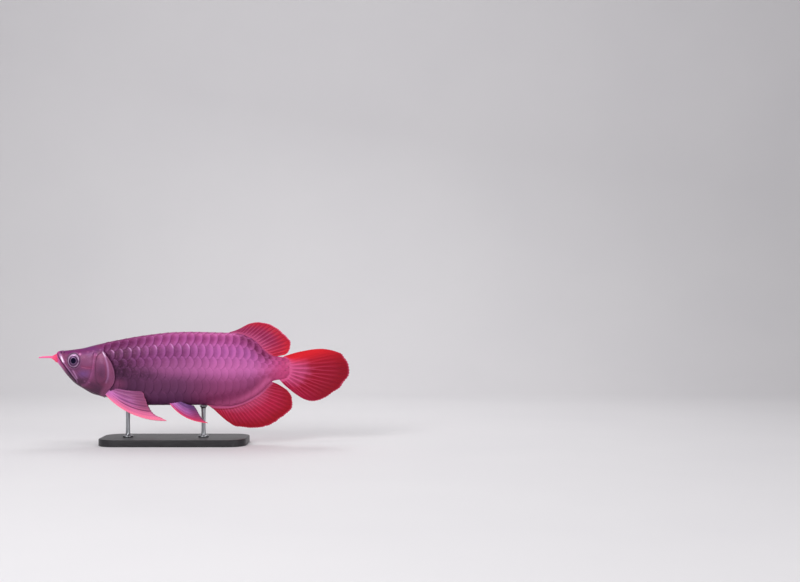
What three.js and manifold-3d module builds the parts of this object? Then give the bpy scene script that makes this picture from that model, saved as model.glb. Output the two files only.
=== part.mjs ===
// Asian arowana: a still, life-size model of the fish in level swimming pose, on a plain display stand.
// Millimetres, +Z up. The fish faces -X, its left side is towards -Y, and the origin is the centre of the stand's underside.
// A place on the fish is given as a station, measured back from the snout, and a height above the fish's midline.
import * as THREE from "three";
import { mergeVertices } from "three/addons/utils/BufferGeometryUtils.js";
import Module from "manifold-3d";

const wasm = await Module();
wasm.setup();

// Where the fish hangs over its stand
const snoutX = -202; // X of station 0
const midlineZ = 128; // Z of height 0
const tailSwing = 9; // how far the end of the tail fin swings to the fish's right
const swingStart = 258; // station from which the body begins to bend
const fishLength = 500; // snout to the end of the tail fin
const gap = 0.3; // kept between neighbouring pieces
const coverGap = 0.48; // kept round a gill cover, whose walls slope

// Outline of the body as [station, height], from the snout back to the root of the tail fin
const back = along([
  [-1.6, 20.6], [0, 26.5], [2.5, 29.2], [8, 31], [20, 32.3], [33, 34], [46, 36], [60, 39.6], [74, 43.1],
  [108, 50], [135, 55], [165, 59.3], [200, 62.8], [231, 63.5], [270, 62.6], [300, 61.8], [316, 59.5],
  [331, 53.5], [343, 45], [353, 34], [362, 26], [372, 22], [384, 20.8], [396, 19], [402, 15],
]);
const keel = along([
  [-1.6, 19.8], [0, 13.5], [3.5, 8.5], [8, 2.9], [19.3, -11.8], [32.4, -25], [45.5, -33.2], [60, -41.2],
  [76.5, -46.2], [108, -53], [132, -58.5], [156, -61.6], [250, -61.4], [275, -63.4], [293, -63.8],
  [313, -60], [327, -54], [347, -42], [357, -33], [364, -25], [371, -20], [384, -18], [396, -16.5], [402, -13],
]);
// Half width of the body, and the height at which it is widest
const breadth = along([
  [-1.6, 0.5], [0, 5.5], [3, 9.5], [8, 12.5], [16, 15], [28, 17.2], [45, 19.8], [60, 21.6], [75, 23],
  [97, 24.4], [130, 26.2], [175, 27.2], [235, 26.6], [275, 24.3], [305, 21], [330, 17], [350, 13],
  [365, 10.4], [384, 7.8], [396, 5.4], [402, 3],
]);
const widest = along([[-1.6, 20.2], [8, 17], [20, 12], [45, 6], [75, 2], [160, 4], [310, 2], [402, 1]]);
// Roundness of a section above and below its widest height: under 1 is full and flat, over 1 comes to an edge
const crown = along([[0, 0.62], [30, 0.55], [75, 0.6], [120, 0.72], [300, 0.8], [402, 0.9]]);
const turnStretch = 0.19; // evens the spacing of points round a section
const belly = along([[0, 0.8], [45, 0.85], [90, 1], [150, 1.2], [280, 1.3], [340, 1.1], [402, 0.95]]);

// Scales, as raised edges in the skin. One row runs along the back and one along the keel, with six more on each flank,
// and every second row stands half a scale further back.
const scaleColumns = 22; // along a row
const scaleRows = 14; // all the way round
const pointsPerRow = 3;
const firstScale = 84; // station of the first free edge
const lastScale = 377;
const scaleBulge = 5; // how far the middle of a free edge lies behind its corners
const scaleStep = 0.7; // height of the free edge
const scaleLip = 0.9; // length of the fall behind the free edge
const tailNarrowing = 0.3; // the share by which scales shorten from the gills to the tail
const frontMargin = 12; // how far the scaled skin reaches ahead of the first free edge
const rootStations = [397, 400.5, 402]; // the bare rings that close it inside the tail fin

// Head
const headEnd = 116; // station at which the head's own skin stops, inside the cut behind the gill covers
const headPoints = 32; // round one ring
const floorPoints = 12; // round one ring of the hidden floor under covers and lips
const coverRise = 1.2; // of a gill cover's bony plate over the cheek
const coverRim = 0.3; // of its soft rim
const coverDepth = 3;
const jawRise = 0.4;
const upperJawRise = 0.7;
const grooveDepth = 0.8;
const eyeStation = 32.6;
const eyeHeight = 15.1;
const eyeRadius = 12;
const eyeTallness = 13.6; // its radius up and down
const eyeBulge = 3.2; // how far the eye stands out of the cheek
const eyeDepth = 7; // from the eye's middle to its front
const nostrilRadius = 1.3;
const trunkEnd = 361; // station at which the trunk meets the tail's root
const farSide = 80; // half length of the cutting prisms, wider than the fish
const farUp = 90; // half height of the cutting prisms, taller than the fish
const farAhead = -40; // station where the cutting prisms begin, ahead of the snout

// Barbels
const barbelRadius = 1.9;
const barbelTipRadius = 1.2;
const coneWidth = 4.2; // how much thicker its fleshy root is, sideways and upwards
const coneHeight = 9.4;
const coneShare = 0.4; // the share of its length in which that goes
const coneFall = 1.6; // how sharply
const rootHeight = 7.6; // the most that the root reaches above and below its middle
const tipShare = 0.94; // where its tip begins to round off
const tipClose = 1.005; // where the rounding would close, just past the end

// Branched fin rays: each splits in two between these shares of its length. The ridge in its middle then sinks by a share
// and the two beside it rise from a share of full height.
const forkStart = 0.35;
const forkEnd = 0.6;
const forkSink = 0.75;
const branchHeight = 0.45;

// The right one of a pair of fins hangs further forward and lower than the left one: by these shares of its distance
// to the right beyond its root's.
const pectoralLean = { forward: 0.58, down: 0.32, from: 11 };
const pelvicLean = { forward: 0.36, down: 0.25, from: 5 };

// Stand
const baseLength = 250;
const baseWidth = 110;
const baseThickness = 12;
const baseCorner = 30;
const baseChamfer = 1.5;
const rodRadius = 4;
const rodReach = 8; // how far a rod's blank goes into the belly, which then shapes its top
const rodStations = { stand_rod_front: 121.6, stand_rod_rear: 250.9 };

// A smooth curve through [station, value] pairs that never swings past them, and level beyond its ends.
function along(points) {
  const steps = points.slice(1).map(([s, value], i) => (value - points[i][1]) / (s - points[i][0]));
  const slopes = points.map((_, i) => {
    const before = steps[Math.max(i - 1, 0)];
    const after = steps[Math.min(i, steps.length - 1)];
    return before * after <= 0 ? 0 : (2 * before * after) / (before + after);
  });
  return (s) => {
    const i = points.findLastIndex(([start]) => start <= s);
    if (i < 0) return points[0][1];
    if (i === points.length - 1) return points[i][1];
    const width = points[i + 1][0] - points[i][0];
    const x = (s - points[i][0]) / width;
    const rise = points[i + 1][1] - points[i][1];
    const lead = width * slopes[i] * x * (1 - x) ** 2;
    const tail = width * slopes[i + 1] * x * x * (x - 1);
    return points[i][1] + rise * x * x * (3 - 2 * x) + lead + tail;
  };
}

// A point given by station, distance to the right of the fish's middle plane and height. Behind the start of the
// swing the middle plane itself curves smoothly to the right.
function place(s, y, h) {
  const past = Math.max(s - swingStart, 0) / (fishLength - swingStart);
  return new THREE.Vector3(snoutX + s, y + tailSwing * past * past, midlineZ + h);
}

// A point of the skin: turn runs from 0 on the back, down the left flank, to 0.5 on the keel and up the right flank.
// Rise lifts it off the skin. The turn is stretched so that equal turns are about equal lengths of skin.
function skin(s, turn, rise = 0) {
  const down = 1 - Math.abs(2 * turn - 1);
  const angle = Math.PI * down + turnStretch * Math.sin(2 * Math.PI * down);
  const side = turn < 0.5 ? -1 : 1;
  const upper = Math.cos(angle) > 0;
  const reach = upper ? back(s) - widest(s) : widest(s) - keel(s);
  const roundness = upper ? crown(s) : belly(s);
  const y = side * (breadth(s) + rise) * Math.max(Math.sin(angle), 0) ** roundness;
  return place(s, y, widest(s) + (reach + rise) * Math.cos(angle));
}

// Half width of the body at a station and height.
function halfWidthAt(s, h) {
  const upper = h > widest(s);
  const share = (h - widest(s)) / (upper ? back(s) - widest(s) : widest(s) - keel(s));
  return breadth(s) * Math.sqrt(Math.max(1 - share * share, 0)) ** (upper ? crown(s) : belly(s));
}

// Triangles from a list of points and a list of corners.
function shell(points, corners) {
  const geometry = new THREE.BufferGeometry().setFromPoints(points);
  return geometry.setIndex(corners);
}

// A closed skin over a row of rings, each closed at both ends by a fan round its middle.
function loft(rings) {
  const count = rings[0].length;
  const corners = [];
  for (let i = 0; i < rings.length - 1; i++)
    for (let j = 0; j < count; j++) {
      const [a, b] = [i * count + j, i * count + ((j + 1) % count)];
      corners.push(a, b, a + count, b, b + count, a + count);
    }
  const middle = (ring) => ring.reduce((sum, p) => sum.add(p), new THREE.Vector3()).divideScalar(count);
  const points = [...rings.flat(), middle(rings[0]), middle(rings.at(-1))];
  const [front, rear] = [points.length - 2, points.length - 1];
  const last = (rings.length - 1) * count;
  for (let j = 0; j < count; j++) {
    const next = (j + 1) % count;
    corners.push(front, next, j, rear, last + j, last + next);
  }
  return shell(points, corners);
}

// A geometry as a solid that can be joined and cut.
function solid(geometry) {
  const bare = geometry.index ? geometry.toNonIndexed() : geometry.clone();
  bare.deleteAttribute("normal");
  bare.deleteAttribute("uv");
  const merged = mergeVertices(bare, 1e-4);
  return new wasm.Manifold(
    new wasm.Mesh({
      numProp: 3,
      vertProperties: new Float32Array(merged.attributes.position.array),
      triVerts: new Uint32Array(merged.index.array),
    }),
  );
}

// The largest closed body of a solid, as a geometry.
function geometryOf(made) {
  const bodies = made.decompose().sort((a, b) => b.volume() - a.volume());
  const { vertProperties, triVerts } = bodies[0].getMesh();
  const geometry = new THREE.BufferGeometry();
  geometry.setAttribute("position", new THREE.BufferAttribute(new Float32Array(vertProperties), 3));
  return geometry.setIndex(new THREE.BufferAttribute(new Uint32Array(triVerts), 1));
}

// A prism across the fish: an outline of [station, height] corners, or of a curve through them, between two distances.
function prism(outline, fromY, toY) {
  const shape = new THREE.Shape(outline.map(([s, h]) => new THREE.Vector2(s, h)));
  const geometry = new THREE.ExtrudeGeometry(shape, { depth: toY - fromY, bevelEnabled: false, steps: 1 });
  return solid(geometry.rotateX(Math.PI / 2).translate(snoutX, toY, midlineZ));
}

// Points along a smooth curve through a few [station, height] pairs.
function smooth(pairs, count) {
  const curve = new THREE.SplineCurve(pairs.map(([s, h]) => new THREE.Vector2(s, h)));
  return curve.getSpacedPoints(count).map((p) => [p.x, p.y]);
}

// Copies of an outline moved by a distance along stations and heights.
function moved(outline, ds, dh) {
  return outline.map(([s, h]) => [s + ds, h + dh]);
}

// An outline with every corner pushed away from the outline's middle.
function swollen(outline, by) {
  const middle = [0, 1].map((k) => outline.reduce((sum, p) => sum + p[k], 0) / outline.length);
  return outline.map(([s, h]) => {
    const away = Math.hypot(s - middle[0], h - middle[1]);
    return [s + (by * (s - middle[0])) / away, h + (by * (h - middle[1])) / away];
  });
}

// An ellipsoid round a point.
function ellipsoid(centre, radii, across, high) {
  const geometry = new THREE.SphereGeometry(1, across, high).scale(...radii);
  return solid(geometry.translate(centre.x, centre.y, centre.z));
}

// The mirror image of a solid in the fish's middle plane.
function mirrored(made) {
  return made.mirror([0, 1, 0]);
}

// The right fin of a pair, from the left one.
function leaning(made, { forward, down, from }) {
  const shear = [1, 0, 0, 0, -forward, 1, -down, 0, 0, 0, 1, 0, forward * from, 0, down * from, 1];
  return mirrored(made).transform(shear);
}

// Head and jaws
const headStations = [-1.6, -1, 0.2, 2, 5, 9, 14, 20, 27, 35, 44, 54, 66, 80, 97, headEnd];
function headSkin(rise) {
  const turns = Array.from({ length: headPoints }, (_, j) => j / headPoints);
  return solid(loft(headStations.map((s) => turns.map((turn) => skin(s, turn, rise)))));
}
const floorStations = [0, 20, 45, 70, headEnd];
// The floor that lies hidden under the gill covers, grooves and lips: the same skin with few facets.
function headFloor(rise) {
  const turns = Array.from({ length: floorPoints }, (_, j) => j / floorPoints);
  return solid(loft(floorStations.map((s) => turns.map((turn) => skin(s, turn, rise)))));
}
// Outlines on the side of the head, each as [station, height] corners
const gillEdge = smooth(
  [
    [83, 56], [82.5, 46], [82, 36], [84.5, 29], [91.6, 21.2], [98.6, 10.3], [102.3, 0], [103.8, -9], [103, -20],
    [98.5, -28.5], [90, -37], [84, -46], [81, -56],
  ],
  17,
);
const mouthLine = smooth([[2.6, 40], [3.2, 28], [8.9, 15.8], [16.3, 6], [26, -6.7], [35.8, -20], [40.5, -30], [42, -40]], 11);
const beforeGills = (grown) => [
  [farAhead, -farUp], [farAhead, farUp], ...moved(gillEdge, grown, 0), [gillEdge.at(-1)[0] + grown, -farUp],
];
const beforeMouth = (grown) => [[farAhead, -farUp], [farAhead, farUp], ...moved(mouthLine, grown, grown)];
const [coverTop, coverBottom] = [27, -36];
const coverFront = smooth([[83, 28.2], [74, 25], [70, 15], [69.5, -1], [70, -15], [70.5, -26], [76, -34], [89.5, -36.5]], 10);
const coverRear = gillEdge.filter(([, h]) => h < coverTop && h > coverBottom);
const cover = [...coverFront.toReversed(), ...coverRear];
const gillPlate = smooth(
  [[82, 25.5], [75, 23.5], [71.3, 14], [70.8, -1], [71.3, -14], [72.5, -24], [79.5, -27.5], [86.5, -21], [90.5, -11], [92, 0], [90.5, 11], [82, 25.5]],
  16,
);
const upperJaw = [
  ...smooth([[11, 25], [17, 14], [27, -1], [39.5, -19]], 5),
  ...smooth([[43.5, -17.5], [38.5, -7], [29.5, 4.5], [21, 15.5], [14, 26.5]], 5),
];
const cheekGroove = [
  ...smooth([[66.5, 25], [64.8, 9], [61.8, -11], [52.5, -24]], 5),
  ...smooth([[51.9, -23], [60.6, -10.5], [63.6, 9], [65.3, 25]], 5),
];

const eyeMiddle = place(eyeStation, eyeDepth - eyeBulge - halfWidthAt(eyeStation, eyeHeight), eyeHeight);
const eye = (grown) => ellipsoid(eyeMiddle, [eyeRadius + grown, eyeDepth + grown, eyeTallness + grown], 14, 8);
const nostrils = [[10, 27.5], [14.5, 28.6]].map(([s, h]) =>
  ellipsoid(place(s, -halfWidthAt(s, h), h), [nostrilRadius, nostrilRadius, nostrilRadius], 8, 6),
);

const headSolid = headSkin(0);
const jawFront = prism(beforeMouth(0), -farSide, farSide);
const lowerJaw = headSkin(jawRise).intersect(jawFront);
const underCover = prism(swollen(cover, coverGap), -farSide, 0).subtract(headFloor(-coverDepth - gap));
const gillPlates = headSkin(coverRise).intersect(prism(gillPlate, -farSide, 0));
const gillCover = headSkin(coverRim).intersect(prism(cover, -farSide, 0)).add(gillPlates).subtract(headFloor(-coverDepth));
const groove = prism(cheekGroove, -farSide, 0).subtract(headSkin(-grooveDepth));
const maxilla = headSkin(upperJawRise).intersect(prism(upperJaw, -farSide, 0)).subtract(headFloor(-coverDepth));
const leftCuts = [underCover, groove, eye(gap), ...nostrils];
let head = headSolid.intersect(prism(beforeGills(0), -farSide, farSide));
head = head.add(maxilla).add(mirrored(maxilla));
head = head.subtract(prism(beforeMouth(gap), -farSide, farSide));
for (const cut of leftCuts) head = head.subtract(cut).subtract(mirrored(cut));

// Trunk and root of the tail, with the scales raised in their own skin
function scaledSkin(rise) {
  const count = scaleRows * pointsPerRow;
  const ringAt = (station, lift) =>
    Array.from({ length: count }, (_, j) => skin(station(j), j / count, rise + lift));
  const rings = [ringAt(() => firstScale - frontMargin, 0)];
  const pitch = (lastScale - firstScale) / scaleColumns;
  for (let k = 0; k <= scaleColumns; k++) {
    const share = k / scaleColumns;
    const shortening = 1 - tailNarrowing * share;
    const edge = firstScale + (lastScale - firstScale) * share * (1 + (tailNarrowing / 2) * (1 - share));
    const curved = (j) => {
      const row = j / pointsPerRow + 0.5;
      const across = row % 1;
      const stagger = ((Math.floor(row) % 2) * pitch) / 2;
      return edge + shortening * (stagger + scaleBulge * 4 * across * (1 - across));
    };
    rings.push(ringAt(curved, scaleStep));
    rings.push(ringAt((j) => curved(j) + scaleLip, 0));
  }
  for (const s of rootStations) rings.push(ringAt(() => s, 0));
  return solid(loft(rings));
}
const bodySkin = scaledSkin(0);
const bodyRoom = scaledSkin(gap);
const behindGills = bodySkin.subtract(prism(beforeGills(gap), -farSide, farSide));
const aft = (s) => prism([[s, -farUp], [s + fishLength, -farUp], [s + fishLength, farUp], [s, farUp]], -farSide, farSide);
const trunk = behindGills.subtract(aft(trunkEnd));
const tailRoot = behindGills.intersect(aft(trunkEnd + gap));

// A fin: a thin closed sheet whose rays run from a root curve to its edge, raised as ridges on both faces.
// root and edge give the two ends of the ray at a share f of the fin's width, bow pushes the middle of a ray aside.
function fin({ rays, rows, forked, root, edge, bow, rayThickness, tipThickness, webShare, scallop }) {
  const perRay = forked ? 4 : 2;
  const columns = rays * perRay;
  const ridge = (c, g) => {
    if (!forked) return c % 2;
    const strand = c % 4;
    if (strand === 0) return 0;
    const split = THREE.MathUtils.smoothstep(g, forkStart, forkEnd);
    return strand === 2 ? 1 - forkSink * split : THREE.MathUtils.lerp(branchHeight, 1, split);
  };
  const centre = (c, r) => {
    const f = c / columns;
    const notch = 1 - scallop * (1 - ridge(c, 1));
    const g = (r / rows) * notch;
    return root(f).lerp(edge(f), g).addScaledVector(bow(f), 4 * g * (1 - g));
  };
  const normal = (c, r) => {
    const acrossRays = centre(Math.min(c + 1, columns), r).sub(centre(Math.max(c - 1, 0), r));
    const alongRay = centre(c, Math.min(r + 1, rows)).sub(centre(c, Math.max(r - 1, 0)));
    return acrossRays.cross(alongRay).normalize();
  };
  const points = [];
  for (const face of [1, -1])
    for (let c = 0; c <= columns; c++)
      for (let r = 0; r <= rows; r++) {
        const g = r / rows;
        const thickness = THREE.MathUtils.lerp(rayThickness, tipThickness, g);
        const half = (thickness / 2) * THREE.MathUtils.lerp(webShare, 1, ridge(c, g));
        points.push(centre(c, r).addScaledVector(normal(c, r), face * half));
      }
  const high = rows + 1;
  const side = (columns + 1) * high;
  const corners = [];
  const quad = (a, b, c, d) => corners.push(a, b, c, a, c, d);
  for (let c = 0; c < columns; c++)
    for (let r = 0; r < rows; r++) {
      const [a, b, d, e] = [c * high + r, (c + 1) * high + r, (c + 1) * high + r + 1, c * high + r + 1];
      quad(a, b, d, e);
      corners.push(side + a, side + d, side + b, side + a, side + e, side + d);
    }
  for (let c = 0; c < columns; c++) {
    const [a, b] = [c * high, (c + 1) * high];
    quad(b, a, side + a, side + b);
    quad(a + rows, b + rows, side + b + rows, side + a + rows);
  }
  for (let r = 0; r < rows; r++) {
    const last = columns * high;
    quad(r, r + 1, side + r + 1, side + r);
    quad(last + r + 1, last + r, side + last + r, side + last + r + 1);
  }
  const made = solid(shell(points, corners));
  return made.volume() < 0 ? solid(shell(points, corners.reverse())) : made;
}

// A curve through points given as [station, height], or as [station, distance to the right, height].
function curveThrough(places) {
  const points = places.map((p) => (p.length === 2 ? place(p[0], 0, p[1]) : place(...p)));
  const curve = new THREE.CatmullRomCurve3(points, false, "centripetal");
  return (f) => curve.getPointAt(f);
}

const straight = () => new THREE.Vector3();
const dorsal = fin({
  rays: 19, rows: 4, forked: false, rayThickness: 3, tipThickness: 1, webShare: 0.5, scallop: 0.02,
  root: curveThrough([
    [285, 57], [300, 56.5], [314, 54], [329, 48], [338, 41.5], [344, 34], [350, 27.5], [356, 22.5], [362, 18.5],
  ]),
  edge: curveThrough([
    [296, 63.2], [307, 66.8], [314, 70], [321, 74], [332, 78.9], [342, 80.4], [352, 80.1], [362, 78], [371, 73.5],
    [380, 67.9], [387, 61.8], [394, 55.1], [398.5, 50.2], [400.8, 44], [399.8, 38], [397.7, 32], [395, 27.6],
    [390.5, 24.3],
  ]),
  bow: straight,
});
const anal = fin({
  rays: 26, rows: 4, forked: false, rayThickness: 3, tipThickness: 1, webShare: 0.5, scallop: 0.02,
  root: curveThrough([
    [252, -56.5], [270, -58.5], [285, -59], [300, -57.5], [315, -53], [330, -46], [346, -35], [354, -26.5],
    [362, -19.5],
  ]),
  edge: curveThrough([
    [262, -63], [276, -76.2], [285.5, -84.6], [295, -92.2], [305, -97.9], [318, -100.2], [336, -101.2],
    [348, -100.3], [359, -98.2], [372, -92.6], [386, -82.6], [396, -74.2], [401.7, -68.3], [403.2, -60],
    [402.8, -51], [401, -45.5], [396, -38], [388, -31.8], [377, -25.5],
  ]),
  bow: straight,
});
const caudal = fin({
  rays: 14, rows: 5, forked: true, rayThickness: 3.2, tipThickness: 1, webShare: 0.45, scallop: 0.015,
  root: curveThrough([[378, 15], [387, 13], [391, 7], [392.5, 0], [391, -7], [386, -12], [376, -13.5]]),
  edge: curveThrough([
    [390, 22.4], [409, 28.1], [425, 31.5], [440, 33.8], [456, 34.4], [470, 32.2], [480, 29.2], [489, 25.2],
    [497.5, 14.6], [500.3, 3], [500, -10], [494.5, -20], [486.5, -32.6], [474, -40.2], [461, -48.3], [449, -53.8],
    [438, -55.8], [424, -52.6], [410, -44.5], [400, -36.8], [388, -26.4],
  ]),
  bow: straight,
});
const pectoral = fin({
  rays: 7, rows: 5, forked: true, rayThickness: 2.8, tipThickness: 0.9, webShare: 0.42, scallop: 0.02,
  root: curveThrough([[82.5, -10.5, -39.5], [88.5, -13, -35], [94.5, -15.5, -30]]),
  edge: curveThrough([
    [193, -30, -85.7], [185.4, -28.5, -80.8], [176.3, -27, -78], [167.5, -25, -71.7], [160, -23, -61.5],
    [156, -21.5, -50], [153, -20, -40.5], [146, -19, -36.8],
  ]),
  bow: (f) => new THREE.Vector3(-5.1 + 8 * f, -4, -12.2 + 11 * f),
});
const pelvic = fin({
  rays: 5, rows: 4, forked: true, rayThickness: 2.4, tipThickness: 0.8, webShare: 0.42, scallop: 0.02,
  root: curveThrough([[191, -4, -55.5], [199.5, -5.3, -54.5], [208, -6.5, -52]]),
  edge: curveThrough([
    [262, -23, -90.2], [253, -20.5, -84.2], [247, -18, -77.5], [240.5, -14.5, -68], [235, -12, -61.5],
  ]),
  bow: (f) => new THREE.Vector3(-4.2 + 4 * f, -1.5, -8.5 + 7 * f),
});

// A round barbel: rings along a curve that starts inside the chin, thickest there, with a rounded tip.
function barbel() {
  const curve = curveThrough([[3, -4.5, 18.5], [-6, -6, 20.2], [-17, -8.3, 20.6], [-29, -10, 20]]);
  const [steps, sides] = [11, 8];
  const rings = Array.from({ length: steps + 1 }, (_, i) => {
    const way = i / steps;
    const past = Math.max(way - tipShare, 0) / (tipClose - tipShare);
    const cone = Math.max(1 - way / coneShare, 0) ** coneFall;
    const radius = THREE.MathUtils.lerp(barbelRadius, barbelTipRadius, way) * Math.sqrt(1 - past * past);
    const [wide, high] = [radius + coneWidth * cone, Math.min(radius + coneHeight * cone, rootHeight)];
    const middle = curve(way);
    return Array.from({ length: sides }, (_, j) => {
      const angle = (j / sides) * 2 * Math.PI;
      return middle.clone().add(new THREE.Vector3(0, wide * Math.sin(angle), high * Math.cos(angle)));
    });
  });
  return solid(loft(rings));
}

// Stand
function standBase() {
  const [x, y, r] = [baseLength / 2 - baseChamfer, baseWidth / 2 - baseChamfer, baseCorner - baseChamfer];
  const outline = new THREE.Shape();
  for (const [cx, cy, turn] of [[x - r, y - r, 0], [r - x, y - r, 1], [r - x, r - y, 2], [x - r, r - y, 3]])
    outline.absarc(cx, cy, r, (turn * Math.PI) / 2, ((turn + 1) * Math.PI) / 2, false);
  const settings = { depth: baseThickness - 2 * baseChamfer, bevelSize: baseChamfer, bevelThickness: baseChamfer };
  const geometry = new THREE.ExtrudeGeometry(outline, { ...settings, bevelSegments: 1, curveSegments: 6 });
  return geometry.translate(0, 0, baseChamfer);
}
function standRod(station) {
  const foot = baseThickness + gap;
  const height = midlineZ + keel(station) + rodReach - foot;
  const rod = new THREE.CylinderGeometry(rodRadius, rodRadius, height, 24).rotateX(Math.PI / 2);
  return solid(rod.translate(snoutX + station, 0, foot + height / 2)).subtract(bodyRoom);
}

const finishes = {
  flank: { color: 0xa0538c, roughness: 0.35, metalness: 0.25 },
  head: { color: 0x85446f, roughness: 0.35, metalness: 0.2 },
  fins: { color: 0xb43a52, roughness: 0.45, metalness: 0.05 },
  barbels: { color: 0xe07ab0, roughness: 0.5, metalness: 0 },
  eyes: { color: 0xb294c0, roughness: 0.1, metalness: 0.2 },
  stand: { color: 0x2b2b2e, roughness: 0.45, metalness: 0.1 },
  rods: { color: 0x8f9296, roughness: 0.3, metalness: 0.9 },
};
const fish = new THREE.Group();
function add(name, finish, geometry) {
  const mesh = new THREE.Mesh(geometry, new THREE.MeshStandardMaterial(finishes[finish]));
  mesh.name = name;
  fish.add(mesh);
}
function addPair(name, finish, left, right = mirrored(left)) {
  add(name + "_left", finish, geometryOf(left));
  add(name + "_right", finish, geometryOf(right));
}

add("head", "head", geometryOf(head));
add("lower_jaw", "head", geometryOf(lowerJaw));
addPair("gill_cover", "head", gillCover);
addPair("eye", "eyes", eye(0));
addPair("barbel", "barbels", barbel().subtract(headSkin(jawRise + gap)));
add("trunk", "flank", geometryOf(trunk));
add("tail_peduncle", "flank", geometryOf(tailRoot));
add("dorsal_fin", "fins", geometryOf(dorsal.subtract(bodyRoom)));
add("anal_fin", "fins", geometryOf(anal.subtract(bodyRoom)));
add("caudal_fin", "fins", geometryOf(caudal.subtract(bodyRoom)));
addPair("pectoral_fin", "fins", pectoral.subtract(bodyRoom), leaning(pectoral, pectoralLean).subtract(bodyRoom));
addPair("pelvic_fin", "fins", pelvic.subtract(bodyRoom), leaning(pelvic, pelvicLean).subtract(bodyRoom));
add("stand_base", "stand", standBase());
for (const [name, station] of Object.entries(rodStations)) add(name, "rods", geometryOf(standRod(station)));

export default fish;
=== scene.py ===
"""Life-size model of an asian arowana on a plain display stand.

Lengths inside the classes are millimetres in the fish's own terms: a station is measured back from the
snout, a height from the fish's midline, and a turn runs from 0 on the back, down the left flank to 0.5 on
the keel and up the right flank to 1. Meshes are written in metres. Colours are given as they look on a
screen, 0 to 255.
"""

import logging
import math
from dataclasses import dataclass
from enum import Enum

import bpy
import numpy as np
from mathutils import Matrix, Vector

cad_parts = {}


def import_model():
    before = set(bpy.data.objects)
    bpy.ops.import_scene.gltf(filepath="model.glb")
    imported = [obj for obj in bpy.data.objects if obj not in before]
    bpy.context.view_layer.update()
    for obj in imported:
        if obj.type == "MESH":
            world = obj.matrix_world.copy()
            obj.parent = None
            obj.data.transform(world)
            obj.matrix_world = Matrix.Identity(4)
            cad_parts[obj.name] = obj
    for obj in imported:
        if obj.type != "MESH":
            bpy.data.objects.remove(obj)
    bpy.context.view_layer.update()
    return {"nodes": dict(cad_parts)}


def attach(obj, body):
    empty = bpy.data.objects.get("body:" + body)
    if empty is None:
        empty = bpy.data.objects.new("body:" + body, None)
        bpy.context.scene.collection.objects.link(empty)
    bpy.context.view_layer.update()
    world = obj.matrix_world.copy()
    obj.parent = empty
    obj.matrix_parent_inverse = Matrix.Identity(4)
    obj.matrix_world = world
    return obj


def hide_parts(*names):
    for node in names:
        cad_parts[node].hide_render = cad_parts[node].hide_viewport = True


MM = 0.001
LOG = logging.getLogger("arowana")
Array = np.ndarray
Colour = tuple[float, float, float]
Place = tuple[float, float, float]
Span = tuple[float, float]
Table = tuple[tuple[float, ...], ...]


def linear(colour: Colour) -> Colour:
    """A screen colour as linear light."""
    shares = (level / 255 for level in colour)
    return tuple(share / 12.92 if share <= 0.04045 else ((share + 0.055) / 1.055) ** 2.4 for share in shares)


def ease(low: float, high: float, x: Array) -> Array:
    """A smooth step: 0 at low, 1 at high, level at both ends, by 3t^2 - 2t^3."""
    t = np.clip((np.asarray(x, float) - low) / (high - low), 0, 1)
    return t * t * (3 - 2 * t)


def hump(x: Array, width: float) -> Array:
    """A bell of height 1 round x = 0: e to the power of minus (x / width) squared."""
    return np.exp(-((np.asarray(x, float) / width) ** 2))


def bells(offset: Array, rows: Table) -> Array:
    """The sum of bells across a line or round a point.

    Args:
        offset: distances from the line or point.
        rows: for each bell its height, its width and its own distance.

    Returns:
        Heights, of the shape of offset.
    """
    return sum(height * hump(offset - at, width) for height, width, at in rows)


def spots(s: Array, h: Array, rows: Table) -> Array:
    """The sum of oval bells on the side of the fish.

    Args:
        s: stations.
        h: heights.
        rows: for each bell its middle's station and height, its half length, its half height and its share.

    Returns:
        Shares, of the shape of s.
    """
    return sum(share * hump(np.hypot((s - x) / wide, (h - z) / high), 1.0)
               for x, z, wide, high, share in rows)


# Curves


@dataclass(frozen=True)
class Profile:
    """A smooth curve through [station, value] pairs. It never swings past them and is level beyond them."""

    pairs: Table

    def __call__(self, s: Array) -> Array:
        """Values of the curve.

        Each span is a cubic whose end slopes are the harmonic means of the neighbouring spans' slopes.

        Args:
            s: stations, of any shape.

        Returns:
            The value at each station.
        """
        x, y = np.array(self.pairs, float).T
        steps = np.diff(y) / np.diff(x)
        before, after = np.r_[steps[0], steps], np.r_[steps, steps[-1]]
        product = before * after
        slopes = np.where(product <= 0, 0, 2 * product / np.where(product <= 0, 1, before + after))
        s = np.clip(s, x[0], x[-1])
        i = np.clip(np.searchsorted(x, s, side="right") - 1, 0, len(x) - 2)
        width = x[i + 1] - x[i]
        t = (s - x[i]) / width
        lead = width * slopes[i] * t * (1 - t) ** 2
        tail = width * slopes[i + 1] * t * t * (t - 1)
        return y[i] + (y[i + 1] - y[i]) * t * t * (3 - 2 * t) + lead + tail


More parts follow.
